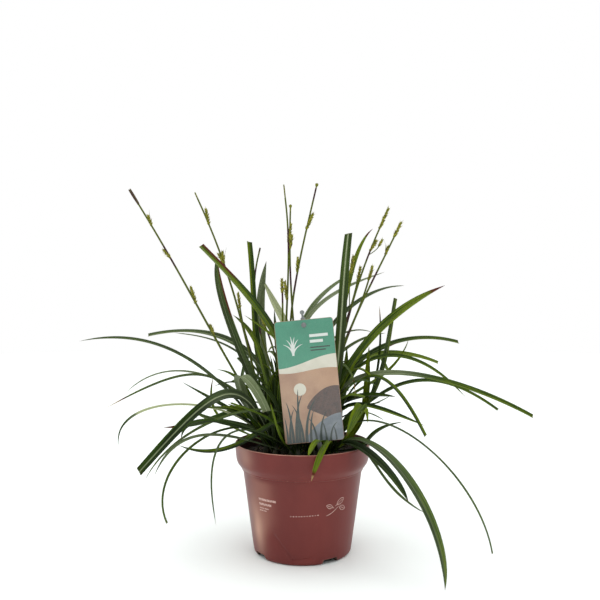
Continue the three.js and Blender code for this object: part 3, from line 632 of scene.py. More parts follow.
def core_leaf(shoot, order, draw):
    """A short thin leaf that thickens the middle of the tuft."""
    turn, size, rise, slope, breadth, spin = (next(draw) for _ in range(6))
    heading = (shoot * GOLDEN_ANGLE * 1.7 + (order + turn) * 111.2) % 360
    leaf = leaf_of(
        shoot, heading, between(4, 34, size), between(32, 96, rise), between(0, 22, slope),
        between(-88, 20, spin), between(2.0, 4.4, breadth), between(-60, 60, spin),
        "c" if order % 4 == 3 else "", swing=between(-5, 5, turn),
    )
    leaf["x"] += between(-2, 2, turn)
    leaf["y"] += between(-2, 2, spin)
    return leaf


def litter_leaf(shoot, order, draw):
    """A dry leaf base that curls over near the soil."""
    turn, size, spin = (next(draw) for _ in range(3))
    return leaf_of(
        shoot, 360 * turn, between(4, 11, size), between(1.5, 10, spin), between(5, 35, turn),
        between(10, 80, size), between(1.2, 2.6, spin), between(-40, 40, size),
        "ttc" if order == 0 else "tt", swing=between(-3, 3, spin),
    )


def tree_of(node):
    """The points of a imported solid, in mm, to be found by place."""
    points = [v.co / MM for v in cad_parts[node].data.vertices]
    tree = kdtree.KDTree(len(points))
    for i, p in enumerate(points):
        tree.insert(p, i)
    tree.balance()
    return tree


def as_grown(leaf, turns, leans, tree):
    """The leaf as its solid grew, known by its tip and by one point of its edge, or None."""
    near = 0.03  # mm
    last = np.array([(leaf["steps"] - 1) / leaf["steps"]])
    for lift in LIFTS:
        for turn in turns:
            grown = dict(leaf, heading=leaf["heading"] + turn, height=leaf["height"] + lift)
            if tree.find(Vector(arch_points(grown, 1.0)))[2] > near:
                continue
            for lean in leans:
                leant = dict(grown, lean=leaf["lean"] + lean)
                at, _, side, _ = arch_frames(leant, last)
                edge = at[0] + side[0] * float(leaf_width(leaf, last)[0]) / 2
                if tree.find(Vector(edge))[2] < near:
                    return leant
    return None


# ---- leaves ----
TOP_POINTS, UNDER_POINTS = 9, 5  # across a blade's two sides
SOLID_TAPER, LATE_TAPER = 3.6, 5.5  # the greater, the nearer to its tip a blade narrows
SLIM, BROAD = 0.74, 1.3  # the share of its width that a blade shows for each s or b in its look


def leaf_width(leaf, t, taper=SOLID_TAPER):
    rise = leaf["width"] * (0.4 + 0.6 * smooth_step(t / 0.4))
    past = np.clip((t - 0.4) / 0.6, 0, 1)
    share = 1 - 0.25 * past**2 if leaf["cut"] else 1 - past**taper
    return np.where(t < 0.4, rise, leaf["width"] * np.maximum(share, 0.02))


def blade(shape, leaf, draw, steps):
    """One blade: a folded strip with a keel under its midrib, and its look by point."""
    twist, ripple, phase = between(-14, 14, next(draw)), between(0.1, 0.4, next(draw)), TAU * next(draw)
    tone, grey, bite = next(draw), next(draw), next(draw)
    t = np.linspace(0, 0.998 if leaf["cut"] else 1.0, steps)
    at, along, side, face = arch_frames(leaf, t, twist)
    width = leaf_width(leaf, t, SOLID_TAPER if leaf["plain"] else LATE_TAPER)
    width = width * SLIM ** leaf["look"].count("s") * BROAD ** leaf["look"].count("b")
    u = np.concatenate([np.linspace(0, 1, TOP_POINTS), np.linspace(1, 0, UNDER_POINTS + 2)[1:-1]])
    under = np.where(np.arange(len(u)) < TOP_POINTS, 0.0, 1.0)
    off = np.abs(2 * u - 1)
    fold = 0.045 * np.sin(pi * off) - LEAF_FOLD * (1 - off) * 1.25
    keel = np.maximum(0, 1 - off * 5)
    thick = np.minimum(0.34, width * 0.3)
    wave = ripple * np.sin(t * TAU * 2.3 + phase) * np.minimum(1, width / 6)
    height = np.outer(width, fold) - np.outer(thick, under * (1 + 0.9 * keel)) + np.outer(wave, 2 * u - 1)
    span = np.outer(width, 0.5 - u)
    shift = np.zeros_like(span)
    if leaf["cut"]:  # an uneven, slightly slanted cut
        shift[-1] = span[-1] * between(-0.35, 0.35, bite)
    moves = ((side, span), (face, height), (along, shift))
    rings = at[:, None] + sum(way[:, None] * size[..., None] for way, size in moves)
    length = np.concatenate([[0], np.cumsum(np.linalg.norm(np.diff(at, axis=0), axis=1))])
    uv = rows_of(u, length[:, None] * 0.1)
    shape.tube(rings, blade_look(leaf, t[:, None], u, under, tone, grey), uv)


def blade_look(leaf, t, u, under, tone, grey):
    """Tone with painted shade across the fold and at the base, painted grey sheen with the pale midrib,
    brown and whether it is on the upper side, for each point of a blade.
    """
    look, plain = leaf["look"], leaf["plain"]
    # painted light and shade across the fold: one half of the blade lighter, the other darker; F runs dark
    # to light across
    lit = 0.3 if "f" in look else -0.3 if "v" in look else 0.12 if tone > 0.5 else -0.12
    half = lit * np.clip((0.5 - u) / 0.12, -1, 1)
    if "F" in look:
        half = 0.4 * np.clip((u - 0.25) / 0.25, -1, 1)
    tone = 0.04 + 0.62 * tone if plain else 0.14 + 0.34 * tone
    # y turns the tone yellow-green, which also paints backlit glow; d darkens it
    tone += 0.24 * look.count("y") - 0.14 * look.count("d")
    # lighter towards the tip; painted shade darkens the base, deep in the tuft
    tones = tone + half + 0.25 * smooth_step((t - 0.4) / 0.5) - 0.4 * smooth_step((0.4 - t) / 0.35)
    # painted grey sheen, mostly on the upper side, where the overhead light reflects
    grey = 0.42 * look.count("g") or (0.2 if plain else 0.1) * grey
    grey = grey * (1 - (0 if "ggg" in look else 0.75) * under) + 0.35 * look.count("w")
    sheen_and_midrib = grey * (0.3 + 0.7 * smooth_step(t / 0.3))
    if "G" in look:
        sheen_and_midrib = sheen_and_midrib * (1 - smooth_step((t - 0.4 - 0.15 * look.count("G")) / 0.15))
    sheen_and_midrib = sheen_and_midrib + 0.7 * look.count("m") * np.clip(1 - np.abs(u - 0.5) / 0.09, 0, 1)
    brown = 0.5 * smooth_step((t - 0.985) / 0.012)
    if leaf["cut"]:
        brown = 0.16 * smooth_step((t - 0.994) / 0.004)
    for letter, level, start, run in (("r", 0.5, 0.91, 0.04), ("t", 0.95, 0.9, 0.06)):
        if letter in look:
            brown = np.maximum(brown, level * smooth_step((t - start) / run))
    for letter, edge, start in (("e", 1, 0.6), ("E", 0, 0.78)):
        if letter in look:
            margin = smooth_step((0.28 - np.abs(u - edge)) / 0.12)
            brown = np.maximum(brown, 0.5 * margin * smooth_step((t - start) / 0.1))
    return rows_of(tones, np.clip(sheen_and_midrib, 0, 2), brown, 1 - under)


def sheath(shape, index, draw):
    """The overlapping bases of a shoot's leaves: a fluted tube that stands in the soil."""
    phase = TAU * next(draw)
    angle = round_about(20)
    z = np.array([79.2, 86, 91, 93, 95, 97, 99, 100.5, 101.6])[:, None]
    radius = np.array([3.3, 3.4, 3.5, 3.45, 3.1, 2.7, 2.3, 1.9, 1.5])[:, None]
    flute = 1 + 0.07 * np.sin(5 * angle + phase + 0.04 * z)
    uneven_top = np.where(z > 100, 1.6, 0) * np.sin(3 * angle + phase)
    low = smooth_step((97 - z) / 8) * np.ones(len(angle))
    look = rows_of(0.2 + 0.4 * low, low, low, low)
    shape.tube(turned(radius * flute, angle, z + uneven_top) + [*shoot_place(index), 0], look, slot=1)


CORE_LEAVES, LITTER_LEAVES = 7, 3  # to each shoot
CORE_STEPS, LITTER_STEPS = 16, 10  # along each leaf
CORE_SEED = 909


def shoots():
    """Every shoot with the leaves of its solid, its sheath, and thin leaves that the solid leaves out."""
    grown = [[] for _ in range(SHOOT_COUNT)]
    trees = [tree_of(f"shoot_{i + 1:02d}") for i in range(SHOOT_COUNT)]
    for row in LEAVES:
        grown[row[0]].append(as_grown(leaf_of(*row), TURNS, LEANS, trees[row[0]]))
    draw = draws_from(FILLER_SEED)
    for order in range(FILLERS_PER_SHOOT):
        for shoot in range(SHOOT_COUNT):
            grown[shoot].append(as_grown(filler_leaf(shoot, order, draw), WIDE_TURNS, [0], trees[shoot]))
    materials = [leaf_material(), sheath_material()]
    core = draws_from(CORE_SEED)
    for index, leaves in enumerate(grown):
        draw = draws_from(31 * index + 5)
        shape = Shape()
        sheath(shape, index, draw)
        for leaf in filter(None, leaves):
            blade(shape, leaf, draw, 22 + int(hypot(leaf["reach"], leaf["height"]) / 8))
        small = [(core_leaf(index, order, core), CORE_STEPS) for order in range(CORE_LEAVES)]
        small += [(litter_leaf(index, order, core), LITTER_STEPS) for order in range(LITTER_LEAVES)]
        for leaf, steps in small:
            if clear_of_card(leaf):
                blade(shape, leaf, draw, steps)
        name = f"shoot_{index + 1:02d}"
        finished(shape.build(f"{name}_leaves", materials), "leaf", name)


def clear_of_card(leaf):
    """Whether a small leaf's midline keeps out of the card."""
    at = arch_points(leaf, np.linspace(0, 1, 30)) - STUD
    x, up = spun(at[:, [0, 2, 1]], radians(LABEL_TILT))[:, :2].T
    beside = (np.abs(x) > CARD_RIGHT + 3) | (up < CARD_LOW - 3) | (up > CARD_TOP + 3)
    return bool(np.all(beside | (at[:, 1] > 4)))


# ---- culms ----
def basis(axis):
    """Two directions square to the axis, as the spikelets of the solids have them."""
    u = unit(np.cross(axis, [0.0, 1.0, 0.0]))
    return u, np.cross(axis, u)


def round_tube(shape, at, u, v, radius, sides, look, slot=0):
    """A round tube along a line, by its two directions and its radius, one for all or one for each point."""
    angle = round_about(sides)[None, :, None]
    ring = np.reshape(u, (-1, 1, 3)) * np.cos(angle) + np.reshape(v, (-1, 1, 3)) * np.sin(angle)
    shape.tube(at[:, None, :] + ring * np.reshape(radius, (-1, 1, 1)), look, slot=slot)


def stem(shape, arch, end, draw):
    """The culm's stem from its foot in the soil, with purple-brown stretches below its spikelets."""
    t = np.concatenate([[0], np.linspace(0, end, 60)])
    at, _, side, face = arch_frames(arch, t)
    at[0] = arch["x"], arch["y"], SOIL_TOP - CULM_DEPTH
    phase, pace = TAU * next(draw), between(14, 24, next(draw))
    brown = smooth_step(np.sin(t * pace + phase) * 1.6 - 0.7) * smooth_step((t - 0.35) / 0.2)
    sides = 8
    look = np.repeat(rows_of(0.2 + 0.5 * t, 0, brown, 0), sides, axis=0)
    round_tube(shape, at, side, face, between(1.3, 0.8, t), sides, look)


FLORET_PITCH, SCALE_PITCH = 0.42, 0.34  # mm along a spikelet
HEAD_FLORETS = 16
SPINDLE_SHARES = np.array([0.0, 0.18, 0.42, 0.68, 0.88, 1.0])
SPINDLE_WIDTHS = np.array([0.25, 0.8, 1.0, 0.7, 0.25, 0.06])


def spindle(shape, foot, head, width, sides, bulge, look, slot=1):
    """A closed spindle, widest at bulge along its length."""
    shares = SPINDLE_SHARES ** (log(bulge) / log(0.42))
    line = foot + np.outer(shares, head - foot)
    axis = unit(head - foot)
    u = unit(np.cross(axis, [0.31, 0.83, 0.46]))
    round_tube(shape, line, u, 0.75 * np.cross(axis, u), width / 2 * SPINDLE_WIDTHS, sides, look, slot)


def spiral_out(axis, i):
    """The way out from the axis of its i-th floret."""
    u, v = basis(axis)
    angle = i * radians(GOLDEN_ANGLE)
    return u * cos(angle) + v * sin(angle)


def seed_spikelet(shape, foot, axis, length, width, draw):
    """Utricles with beaks climb the spikelet in a spiral, each over a brown scale, some with a stigma."""
    count = int(length / FLORET_PITCH)
    for i in range(count):
        climb = 0.01 + 0.88 * i / count
        out = spiral_out(axis, i)
        swell = sin(pi * min(1, 0.24 + climb * 0.72)) ** 0.7
        spread = width / 2 * between(0.55, 1.25, next(draw)) * swell
        root = foot + axis * climb * length + out * 0.2
        size = between(2.6, 4.0, next(draw))
        tip = root + axis * size * 0.85 + out * spread * 0.8
        tone = between(0.05, 0.95, next(draw))
        brown = 0.7 if next(draw) < 0.12 else 0.06 * tone
        spindle(shape, root, tip, 1.25, 6, 0.42, (tone, 0, brown, 0))
        scale_tip = root + axis * size * 0.6 + out * spread * 0.55
        spindle(shape, root, scale_tip, 1.2, 4, 0.5, (0.3, 0, 0.6, 0))
        if next(draw) < 0.6:
            bend = axis * between(0.3, 1.6, next(draw)) + out * between(0.4, 1.4, next(draw))
            bend = bend + np.cross(axis, out) * between(-0.6, 0.6, next(draw))
            spindle(shape, tip, tip + bend, 0.26, 3, 0.3, (next(draw), 0, 0, 0), slot=2)


def pollen_spikelet(shape, foot, axis, length, width, kind, draw):
    """A slender spikelet of close scales laid along its axis, of kind h with a head of florets."""
    count = int(length / SCALE_PITCH)
    purple = kind == "p"
    full = width * (0.5 if purple else 0.26)
    for i in range(count):
        climb = 0.86 * i / count
        swell = sin(pi * (0.12 + 0.72 * climb)) ** 0.6
        root = foot + axis * climb * length
        tip = root + axis * min(3.6, length * (1 - climb)) + spiral_out(axis, i) * full * 0.62 * swell
        tone, brown = between(0.1, 0.7, next(draw)), between(0.75, 1.0, next(draw))
        look = (tone, 1, brown, 0) if purple else (tone * 0.6, 0, 0.45 * (next(draw) < 0.3), 0)
        spindle(shape, root, tip, full * 0.95, 5, 0.42, look)
    florets = HEAD_FLORETS if kind == "h" else 0
    for i in range(florets):
        reach = sqrt((i + 0.5) / florets)
        root = foot + axis * (length - 5.2 + 0.8 * reach)
        tip = foot + axis * (length - 0.9 * reach**2) + spiral_out(axis, i) * 1.75 * reach
        spindle(shape, root, tip, 1.3, 6, 0.6, (between(0, 0.6, next(draw)), 0, 0, 0))


def bract(shape, at, axis, out, draw):
    """The leafy bristle at the foot of a side spikelet."""
    size = between(7, 15, next(draw))
    t = np.linspace(0, 1, 8)
    line = at + np.outer(t * size, axis) + np.outer(t**1.6 * size * between(0.1, 0.4, next(draw)), out)
    look = (between(0.2, 0.7, next(draw)), 0, 0.4 * (next(draw) < 0.3), 0)
    round_tube(shape, line, *basis(axis), between(0.38, 0.06, t), 5, look)


def branch(shape, arch, share, foot, tip, width, draw):
    """A seed spikelet on a thin branch that leaves the culm at a share of its arch."""
    foot, tip = np.array(foot, float), np.array(tip, float)
    root = arch_points(arch, share)
    axis = unit(tip - foot)
    knee = foot - axis * np.linalg.norm(foot - root) * 0.25
    t = np.linspace(0, 1, 9)[:, None]
    line = (1 - t) ** 2 * root + 2 * t * (1 - t) * knee + t**2 * (foot + axis)
    round_tube(shape, line, *basis(axis), 0.5, 6, (0.6, 0, 0, 0))
    seed_spikelet(shape, foot, axis, float(np.linalg.norm(tip - foot)), width, draw)


def culms():
    materials = [culm_material(), floret_material(), hair_material()]
    for index, (x, y, heading, reach, height, lean, fall, spikelets) in enumerate(CULMS):
        draw = draws_from(57 * index + 11)
        arch = dict(x=x, y=y, heading=heading, reach=reach, height=height, lean=lean, fall=fall)
        arch.update(bow=CULM_BOW, swing=0, roll=CULM_ROLL)
        shape = Shape()
        stem(shape, arch, max(spikelet[0] for spikelet in spikelets) + 0.02, draw)
        for share, length, width, lean_side, kind in spikelets:
            at, along, side, _ = (row[0] for row in arch_frames(arch, [share]))
            axis = unit(along + side * lean_side * tan(radians(SIDE_ANGLE)))
            if kind in "fn":
                seed_spikelet(shape, at - axis, axis, length, width, draw)
            else:
                pollen_spikelet(shape, at - axis, axis, length, width, kind, draw)
            if lean_side and kind == "f":
                bract(shape, at, axis, side * lean_side, draw)
        if index in BRANCHED:
            branch(shape, arch, *BRANCHED[index], draw)
        name = f"culm_{index + 1:02d}"
        finished(shape.build(f"{name}_flowering", materials), "culm", name)


# ---- pot ----
# Radius, height and rounding of the pot's corners, from its base out, up and back inside.
POT_CORNERS = [
    (0, 0.9, 0), (36, 0.9, 0.6), (38, 0, 0.6), (46.3, 0, 3.2), (57.1, 76.9, 0.8), (57.3, 78.1, 0.25),
    (58.4, 78.6, 0.25), (58.6, 79.8, 0.4), (60.6, 82.4, 1.2), (62.5, 85, 1.5), (63.7, 88.5, 2.5),
    (65, 102.7, 0.6), (64.5, 103.4, 0.35), (63.6, 103.4, 0.35), (62.4, 89, 2), (61.1, 85.6, 1.2),
    (59.3, 83.2, 1.2), (56.8, 80.6, 0.8), (55.7, 75.4, 1.0), (45.1, 2.4, 1.5), (0, 2.4, 0),
]
POT_AROUND = 288
CREASE_RADIUS = 49
# Folds in the wall: angle and height of both ends, reach and depth.
CREASES = [((-121, 26), (-101.5, 5.6), 1.6, -1.5), ((-101.5, 5.6), (-79, 7.2), 1.3, -1.4)]
DRAIN_COUNT, DRAIN_TURN = 4, 33
DENT_SEED, WEAR_SEED = 401, 402
# Where round the pot it is painted pale: the rim's painted highlight, a paler drain slot, and the painted
# highlight down its left side.
RIM_HIGHLIGHT_TURN, RUBBED_NOTCH, WALL_HIGHLIGHT_TURN = radians(-150), radians(-140), radians(213)


def rounded_profile(corners, arc_steps=4):
    """A polyline whose corners are rounded, with extra points along its long sides."""
    points = [np.array(c[:2], float) for c in corners]
    line = [points[0]]
    s = np.linspace(0, 1, arc_steps + 1)[:, None]
    for before, here, after, corner in zip(points, points[1:], points[2:], corners[1:]):
        start, end = (
            here + unit(other - here) * min(corner[2], np.linalg.norm(other - here) * 0.45)
            for other in (before, after)
        )
        line.extend((1 - s) ** 2 * start + 2 * s * (1 - s) * here + s**2 * end)
    return dense_line(line + [points[-1]], 1.8)


def wall_dent(angle, z):
    """How far the thin wall stands out of true, in mm."""
    angle = (angle + pi) % TAU - pi
    body = smooth_step(z / 12) * smooth_step((76 - z) / 8)
    around = wave_noise(1.7 * np.cos(angle) + z / 60, 1.7 * np.sin(angle), DENT_SEED)
    dent = body * (0.25 * np.sin(2 * angle + 0.6) + 0.2 * around)
    place = rows_of(angle * CREASE_RADIUS, z)
    for *ends, reach, depth in CREASES:
        foot, head = (np.array([radians(turn) * CREASE_RADIUS, rise]) for turn, rise in ends)
        along = head - foot
        share = np.clip((place - foot) @ along / (along @ along), 0, 1)
        apart = np.linalg.norm(place - foot - share[..., None] * along, axis=-1)
        dent = dent + depth * np.exp(-apart / reach) * smooth_step(z / 3)
    return dent


def rubbed_and_highlight_share(angle, z):
    """How far the plastic is painted pale: rubbed along the rim's top edge with a painted highlight
    strongest on the left, paler at a drain slot, and a painted highlight with a broader painted reflection
    down its left side.
    """
    # the rim's top edge: a pale rubbed line, with a painted highlight that grows towards the left
    rim = smooth_step((z - 102.6) / 0.7) * (0.55 + 0.45 * np.cos(angle - RIM_HIGHLIGHT_TURN))
    notch = smooth_step(1.2 - np.abs(np.cos((angle - RUBBED_NOTCH) / 2) - 1) / 0.014)
    notch = notch * smooth_step((9 - z) / 5)
    uneven = wave_noise(angle * 4, z / 20, WEAR_SEED)
    # a painted highlight down the wall's left side, brightest low on the wall
    side = bell((angle - WALL_HIGHLIGHT_TURN - 0.04 + 0.02 * uneven) / (0.16 + 0.02 * uneven))
    low = 1.25 * bell((z - 30) / 20) * smooth_step(z / 8)
    high = 0.45 * smooth_step((z - 84) / 12)
    # a broad, faint painted reflection beside the highlight
    haze_reflection = 0.3 * bell((angle - WALL_HIGHLIGHT_TURN - 0.28) / 0.2)
    haze_reflection = haze_reflection * smooth_step((78 - z) / 6) * smooth_step((z - 20) / 25)
    painted_highlight_and_haze = side * (low + high + 0.15) * (1 + 0.2 * uneven) + haze_reflection
    return np.maximum(rim, np.maximum(notch, painted_highlight_and_haze))


def pot_shape():
    profile = rounded_profile(POT_CORNERS)[1:-1]
    angle = round_about(POT_AROUND)
    r, z = profile[:, :1], profile[:, 1:]
    rings = turned(r + wall_dent(angle, z), angle, z)
    outside = (np.arange(len(z)) < np.argmax(z) + 2)[:, None]
    wear = np.maximum(smooth_step(1 - np.abs(z - 79.0) / 0.9), 0.6 * smooth_step((1.8 - z) / 1.6)) * outside
    # painted shade on the inner wall, darker down from the rim
    inner_shade = (1 - outside) * smooth_step((101.5 - z) / 5)
    # second channel: the rubbed rim, the paler drain slot, and the painted highlight and painted reflection
    look = rows_of(inner_shade, rubbed_and_highlight_share(angle, z) * outside, wear, 0)
    return Shape().tube(rings[::-1], look[::-1])


def drain_cutter(index):
    """A prism with sloping ends that cuts a drain slot through the wall into the base."""
    outline = [(-9, -1), (9, -1), (7, 4.6), (-7, 4.6)]
    points = np.array([(x, y, z) for y in (-52.0, -32.3) for x, z in outline])
    faces = [(0, 1, 2, 3), (7, 6, 5, 4)] + [(i, i + 4, (i + 1) % 4 + 4, (i + 1) % 4) for i in range(4)]
    turn = radians(DRAIN_TURN + index * 360 / DRAIN_COUNT)
    mesh = bpy.data.meshes.new(f"drain_cutter_{index}")
    mesh.from_pydata((spun(points, turn) * MM).tolist(), [], faces)
    return placed(mesh.name, mesh)


def pot():
    piece = pot_shape().build("pot_body", [pot_material()], smooth_angle=32)
    cutters = [drain_cutter(i) for i in range(DRAIN_COUNT)]
    for cutter in cutters:
        modifier = piece.modifiers.new("cut", "BOOLEAN")
        modifier.operation, modifier.object, modifier.solver = "DIFFERENCE", cutter, "EXACT"
    bpy.context.view_layer.update()
    mesh = bpy.data.meshes.new_from_object(piece.evaluated_get(bpy.context.evaluated_depsgraph_get()))
    piece.modifiers.clear()
    piece.data = mesh
    for cutter in cutters:
        bpy.data.objects.remove(cutter)
    finished(piece, "pot", "pot")


# ---- pot print ----
PRINT_LIFT = 0.06
PRINT_RADIUS = 54.0
PRINT_RIGHT, PRINT_LEFT = -57.0, -124.0  # middles of the two prints, in degrees


def on_pot(across, z, centre):
    """Points of the print, given in mm across from a centre angle in degrees and in height."""
    profile = rounded_profile(POT_CORNERS)
    outer = profile[3:np.argmax(profile[:, 1])]
    angle = radians(centre) + across / PRINT_RADIUS
    return turned(np.interp(z, outer[:, 1], outer[:, 0]) + wall_dent(angle, z) + PRINT_LIFT, angle, z)


def aside_of(line):
    """The way to the left of a flat line at each of its points."""
    ahead = unit(np.gradient(line, axis=0))
    return rows_of(-ahead[:, 1], ahead[:, 0])


def stroke(shape, line, width, centre):
    """A line of even width drawn on the pot, as a strip of quads."""
    line = dense_line(np.asarray(line, float), 0.8)
    half = aside_of(line) * width / 2
    points = np.concatenate([on_pot(*(line + half).T, centre), on_pot(*(line - half).T, centre)])
    n = len(line)
    shape.add(points, [(i, i + 1, n + i + 1, n + i) for i in range(n - 1)])


def leaf_strokes(shape, x, z, length, width, lean):
    """A small pointed leaf: its outline and its midrib."""
    t = np.linspace(0, 1, 14)
    turn = radians(lean)
    ahead, aside = np.array([[cos(turn), sin(turn)], [-sin(turn), cos(turn)]])
    middle = [x, z] + np.outer(t * length, ahead)
    half = np.outer(width / 2 * np.sin(pi * t) ** 0.8, aside)
    stroke(shape, np.concatenate([middle + half, (middle - half)[::-1]]), 0.55, PRINT_RIGHT)
    stroke(shape, [x, z] + np.outer([-0.25 * length, 0.8 * length], ahead), 0.45, PRINT_RIGHT)


def pot_print():
    """A generic sprig with dots on the right of the front, and plain bars on the left."""
    shape = Shape()
    for leaf in ((2, 55, 9, 4.6, 34), (5, 52.6, 8, 4.0, -22), (-2.5, 52.8, 7, 3.6, 158)):
        leaf_strokes(shape, *leaf)
    t = np.linspace(0, 1, 14)
    stroke(shape, rows_of(-9 + 12 * t, 46 + 6.5 * t**1.6), 0.6, PRINT_RIGHT)
    for k in range(11):
        x, z = -42 + 2.5 * k, 46.4 + 0.1 * k
        stroke(shape, [(x - 0.6, z), (x + 0.6, z)], 0.9, PRINT_RIGHT)
    for z, end, width in ((58.5, 7.5, 2.0), (54.2, 2.5, 2.0), (50.4, -0.5, 0.9), (48.2, -3.5, 0.9)):
        stroke(shape, [(-12, z), (end, z)], width, PRINT_LEFT)
    finished(shape.build("pot_print", [print_material()]), "pot")


# ---- soil ----
SOIL_RADIUS = 61.9
# Radius and height of the soil's sides, from just below its surface down to its foot.
SOIL_SIDE = [(61.9, 89), (60.7, 85.9), (58.9, 83.5), (56.4, 80.9), (55.3, 75.7), (44.7, 2.8), (2.0, 2.8)]
LUMPS = [(0.55, 7, 71), (0.45, 2.6, 72), (0.3, 1.2, 73)]  # height, width and seed
CRUMBS, CRUMB_SIZES, CRUMB_SEED = 1500, (0.35, 1.7), 81
FIBRES, FIBRE_SEED = 190, 83


def soil_height(x, y):
    base = np.interp(np.hypot(x, y), [0, 26, 50, SOIL_RADIUS], [91.7, 91.5, 91.3, 90.6])
    return base + sum(height * wave_noise(x / width, y / width, seed) for height, width, seed in LUMPS)


def soil_body():
    angle = round_about(240)
    top = turned(np.linspace(0.6, SOIL_RADIUS, 84)[:, None], angle, 0.0)
    top[..., 2] = soil_height(top[..., 0], top[..., 1])
    return Shape().tube(np.concatenate([top, [turned(radius, angle, z) for radius, z in SOIL_SIDE]]))


def crumbs(shape):
    """Irregular lumps, each a squashed and roughened icosphere."""
    ball = bmesh.new()
    bmesh.ops.create_icosphere(ball, subdivisions=1, radius=1)
    points = np.array([v.co[:] for v in ball.verts])
    faces = [tuple(v.index for v in f.verts) for f in ball.faces]
    ball.free()
    draw = draws_from(CRUMB_SEED)
    for _ in range(CRUMBS):
        r = SOIL_RADIUS * sqrt(next(draw)) * 0.985
        x, y, _ = turned(r, TAU * next(draw), 0.0)
        size = between(*CRUMB_SIZES, next(draw) ** 2)
        rough = np.array([between(0.6, 1.2, next(draw)) for _ in points])[:, None]
        stretch = [between(*ends, next(draw)) for ends in ((0.7, 1.5), (0.6, 1.1), (0.4, 0.8))]
        lump = spun(points * rough * stretch * size, TAU * next(draw))
        tone, brown = next(draw) ** 2, 1.0 if next(draw) < 0.04 else 0.0
        shape.add(lump + [x, y, float(soil_height(x, y)) + size * 0.2], faces, (tone, 0, brown, 0))


def fibres(shape):
    draw = draws_from(FIBRE_SEED)
    for _ in range(FIBRES):
        r, angle, turn = SOIL_RADIUS * 0.93 * sqrt(next(draw)), TAU * next(draw), TAU * next(draw)
        size, bend = between(4, 15, next(draw)), between(-1.2, 1.2, next(draw))
        t = np.linspace(0, 1, 9)
        heading = turn + bend * t
        x = r * cos(angle) + np.cumsum(np.cos(heading)) * size / 9
        y = r * sin(angle) + np.cumsum(np.sin(heading)) * size / 9
        keep = np.hypot(x, y) < SOIL_RADIUS - 1
        if keep.sum() < 4:
            continue
        x, y = x[keep], y[keep]
        line = rows_of(x, y, soil_height(x, y) + 0.25 + 0.5 * np.sin(pi * t[: len(x)]))
        up = [0.0, 0.0, 1.0]
        aside = unit(np.cross(unit(np.gradient(line, axis=0)), up))
        radius = between(0.12, 0.3, next(draw))
        round_tube(shape, line, aside, up, radius, 4, (next(draw), 0, float(next(draw) < 0.5), 0))


def soil():
    finished(soil_body().build("soil_body", [soil_material()], smooth_angle=60), "soil", "soil")
    shape = Shape()
    crumbs(shape)
    fibres(shape)
    finished(shape.build("soil_crumbs", [crumb_material()], smooth_angle=35), "soil")


# ---- label card ----
def tilted(outline, y, tilt):
    """An outline in the card's or stake's own x and z from the stud, at a depth, in the part's frame."""
    turn = radians(tilt)
    x, z = np.asarray(outline, float).T
    across = STUD[0] + x * cos(turn) + z * sin(turn)
    up = STUD[2] - x * sin(turn) + z * cos(turn)
    return rows_of(across, STUD[1] + y, up)


def arc_points(cx, cz, radius, start, end, steps):
    angle = np.radians(np.linspace(start, end, steps))
    return rows_of(cx + radius * np.cos(angle), cz + radius * np.sin(angle))


def card_outline(inset=0.0):
    c = LABEL_CORNER
    left, right = CARD_LEFT + inset + c, CARD_RIGHT - inset - c
    low, high = CARD_LOW + inset + c, CARD_TOP - inset - c
    corners = ((right, low, -90), (right, high, 0), (left, high, 90), (left, low, 180))
    return np.concatenate([arc_points(x, z, c, start, start + 90, 8) for x, z, start in corners])


def plate(name, outline, front, thickness, tilt, bevel, material, slot, *nodes):
    """A flat outline in local x and z, given thickness from its front backwards, with eased edges."""
    build = bmesh.new()
    face = build.faces.new([build.verts.new(c) for c in tilted(outline, front, tilt) * MM])
    made = bmesh.ops.extrude_face_region(build, geom=[face])
    moved = [v for v in made["geom"] if isinstance(v, bmesh.types.BMVert)]
    bmesh.ops.translate(build, verts=moved, vec=(0, thickness * MM, 0))
    rims = [e for e in build.edges if abs(e.verts[0].co.y - e.verts[1].co.y) < 1e-7]
    bmesh.ops.bevel(build, geom=rims, offset=bevel * MM, segments=2, profile=0.6, affect="EDGES")
    bmesh.ops.recalc_face_normals(build, faces=build.faces)
    mesh = bpy.data.meshes.new(name)
    build.to_mesh(mesh)
    build.free()
    finished(placed(name, shaded(mesh, 40, [material])), slot, *nodes)


def printed(name, outlines, level, material):
    """Thin flat shapes of ink, a level in front of the card and each a hair in front of the last."""
    shape = Shape()
    for order, outline in enumerate(outlines):
        front = -0.05 * level - 0.012 * order
        shape.tube(np.array([tilted(outline, y, LABEL_TILT) for y in (0.0, front)]))
    finished(shape.build(name, [material], smooth_angle=20), "label")


def bar(x, z, width, height):
    return [(x, z), (x + width, z), (x + width, z + height), (x, z + height)]


def grass_blade(x, z, reach, height, width):
    """A curved tapering blade of grass as a flat outline."""
    t = np.linspace(0, 1, 16)
    line = rows_of(x + reach * t**2, z + height * (t - 0.18 * t**3) / 0.82)
    half = (width / 2 * (1 - t) ** 0.7)[:, None] * aside_of(line)
    return np.concatenate([line + half, (line - half)[::-1][1:]])


# The card's inks: two colours that mix, and how finely they mottle.
INKS = {
    "teal": ((46, 132, 104), (54, 142, 112), 60.0),
    "cream": ((206, 202, 184), (218, 214, 198), 60.0),
    "sand": ((158, 118, 92), (184, 146, 116), 40.0),
    "rust": ((84, 56, 46), (60, 42, 36), 300.0),
    "blue": ((98, 108, 118), (126, 134, 142), 120.0),
    "dark": ((26, 52, 42), (20, 38, 32), 300.0),
    "white": ((226, 230, 224), (216, 222, 216), 60.0),
}
INK_INSET = 0.25  # from the card's edge
INK_LEFT, INK_RIGHT = CARD_LEFT + INK_INSET, CARD_RIGHT - INK_INSET
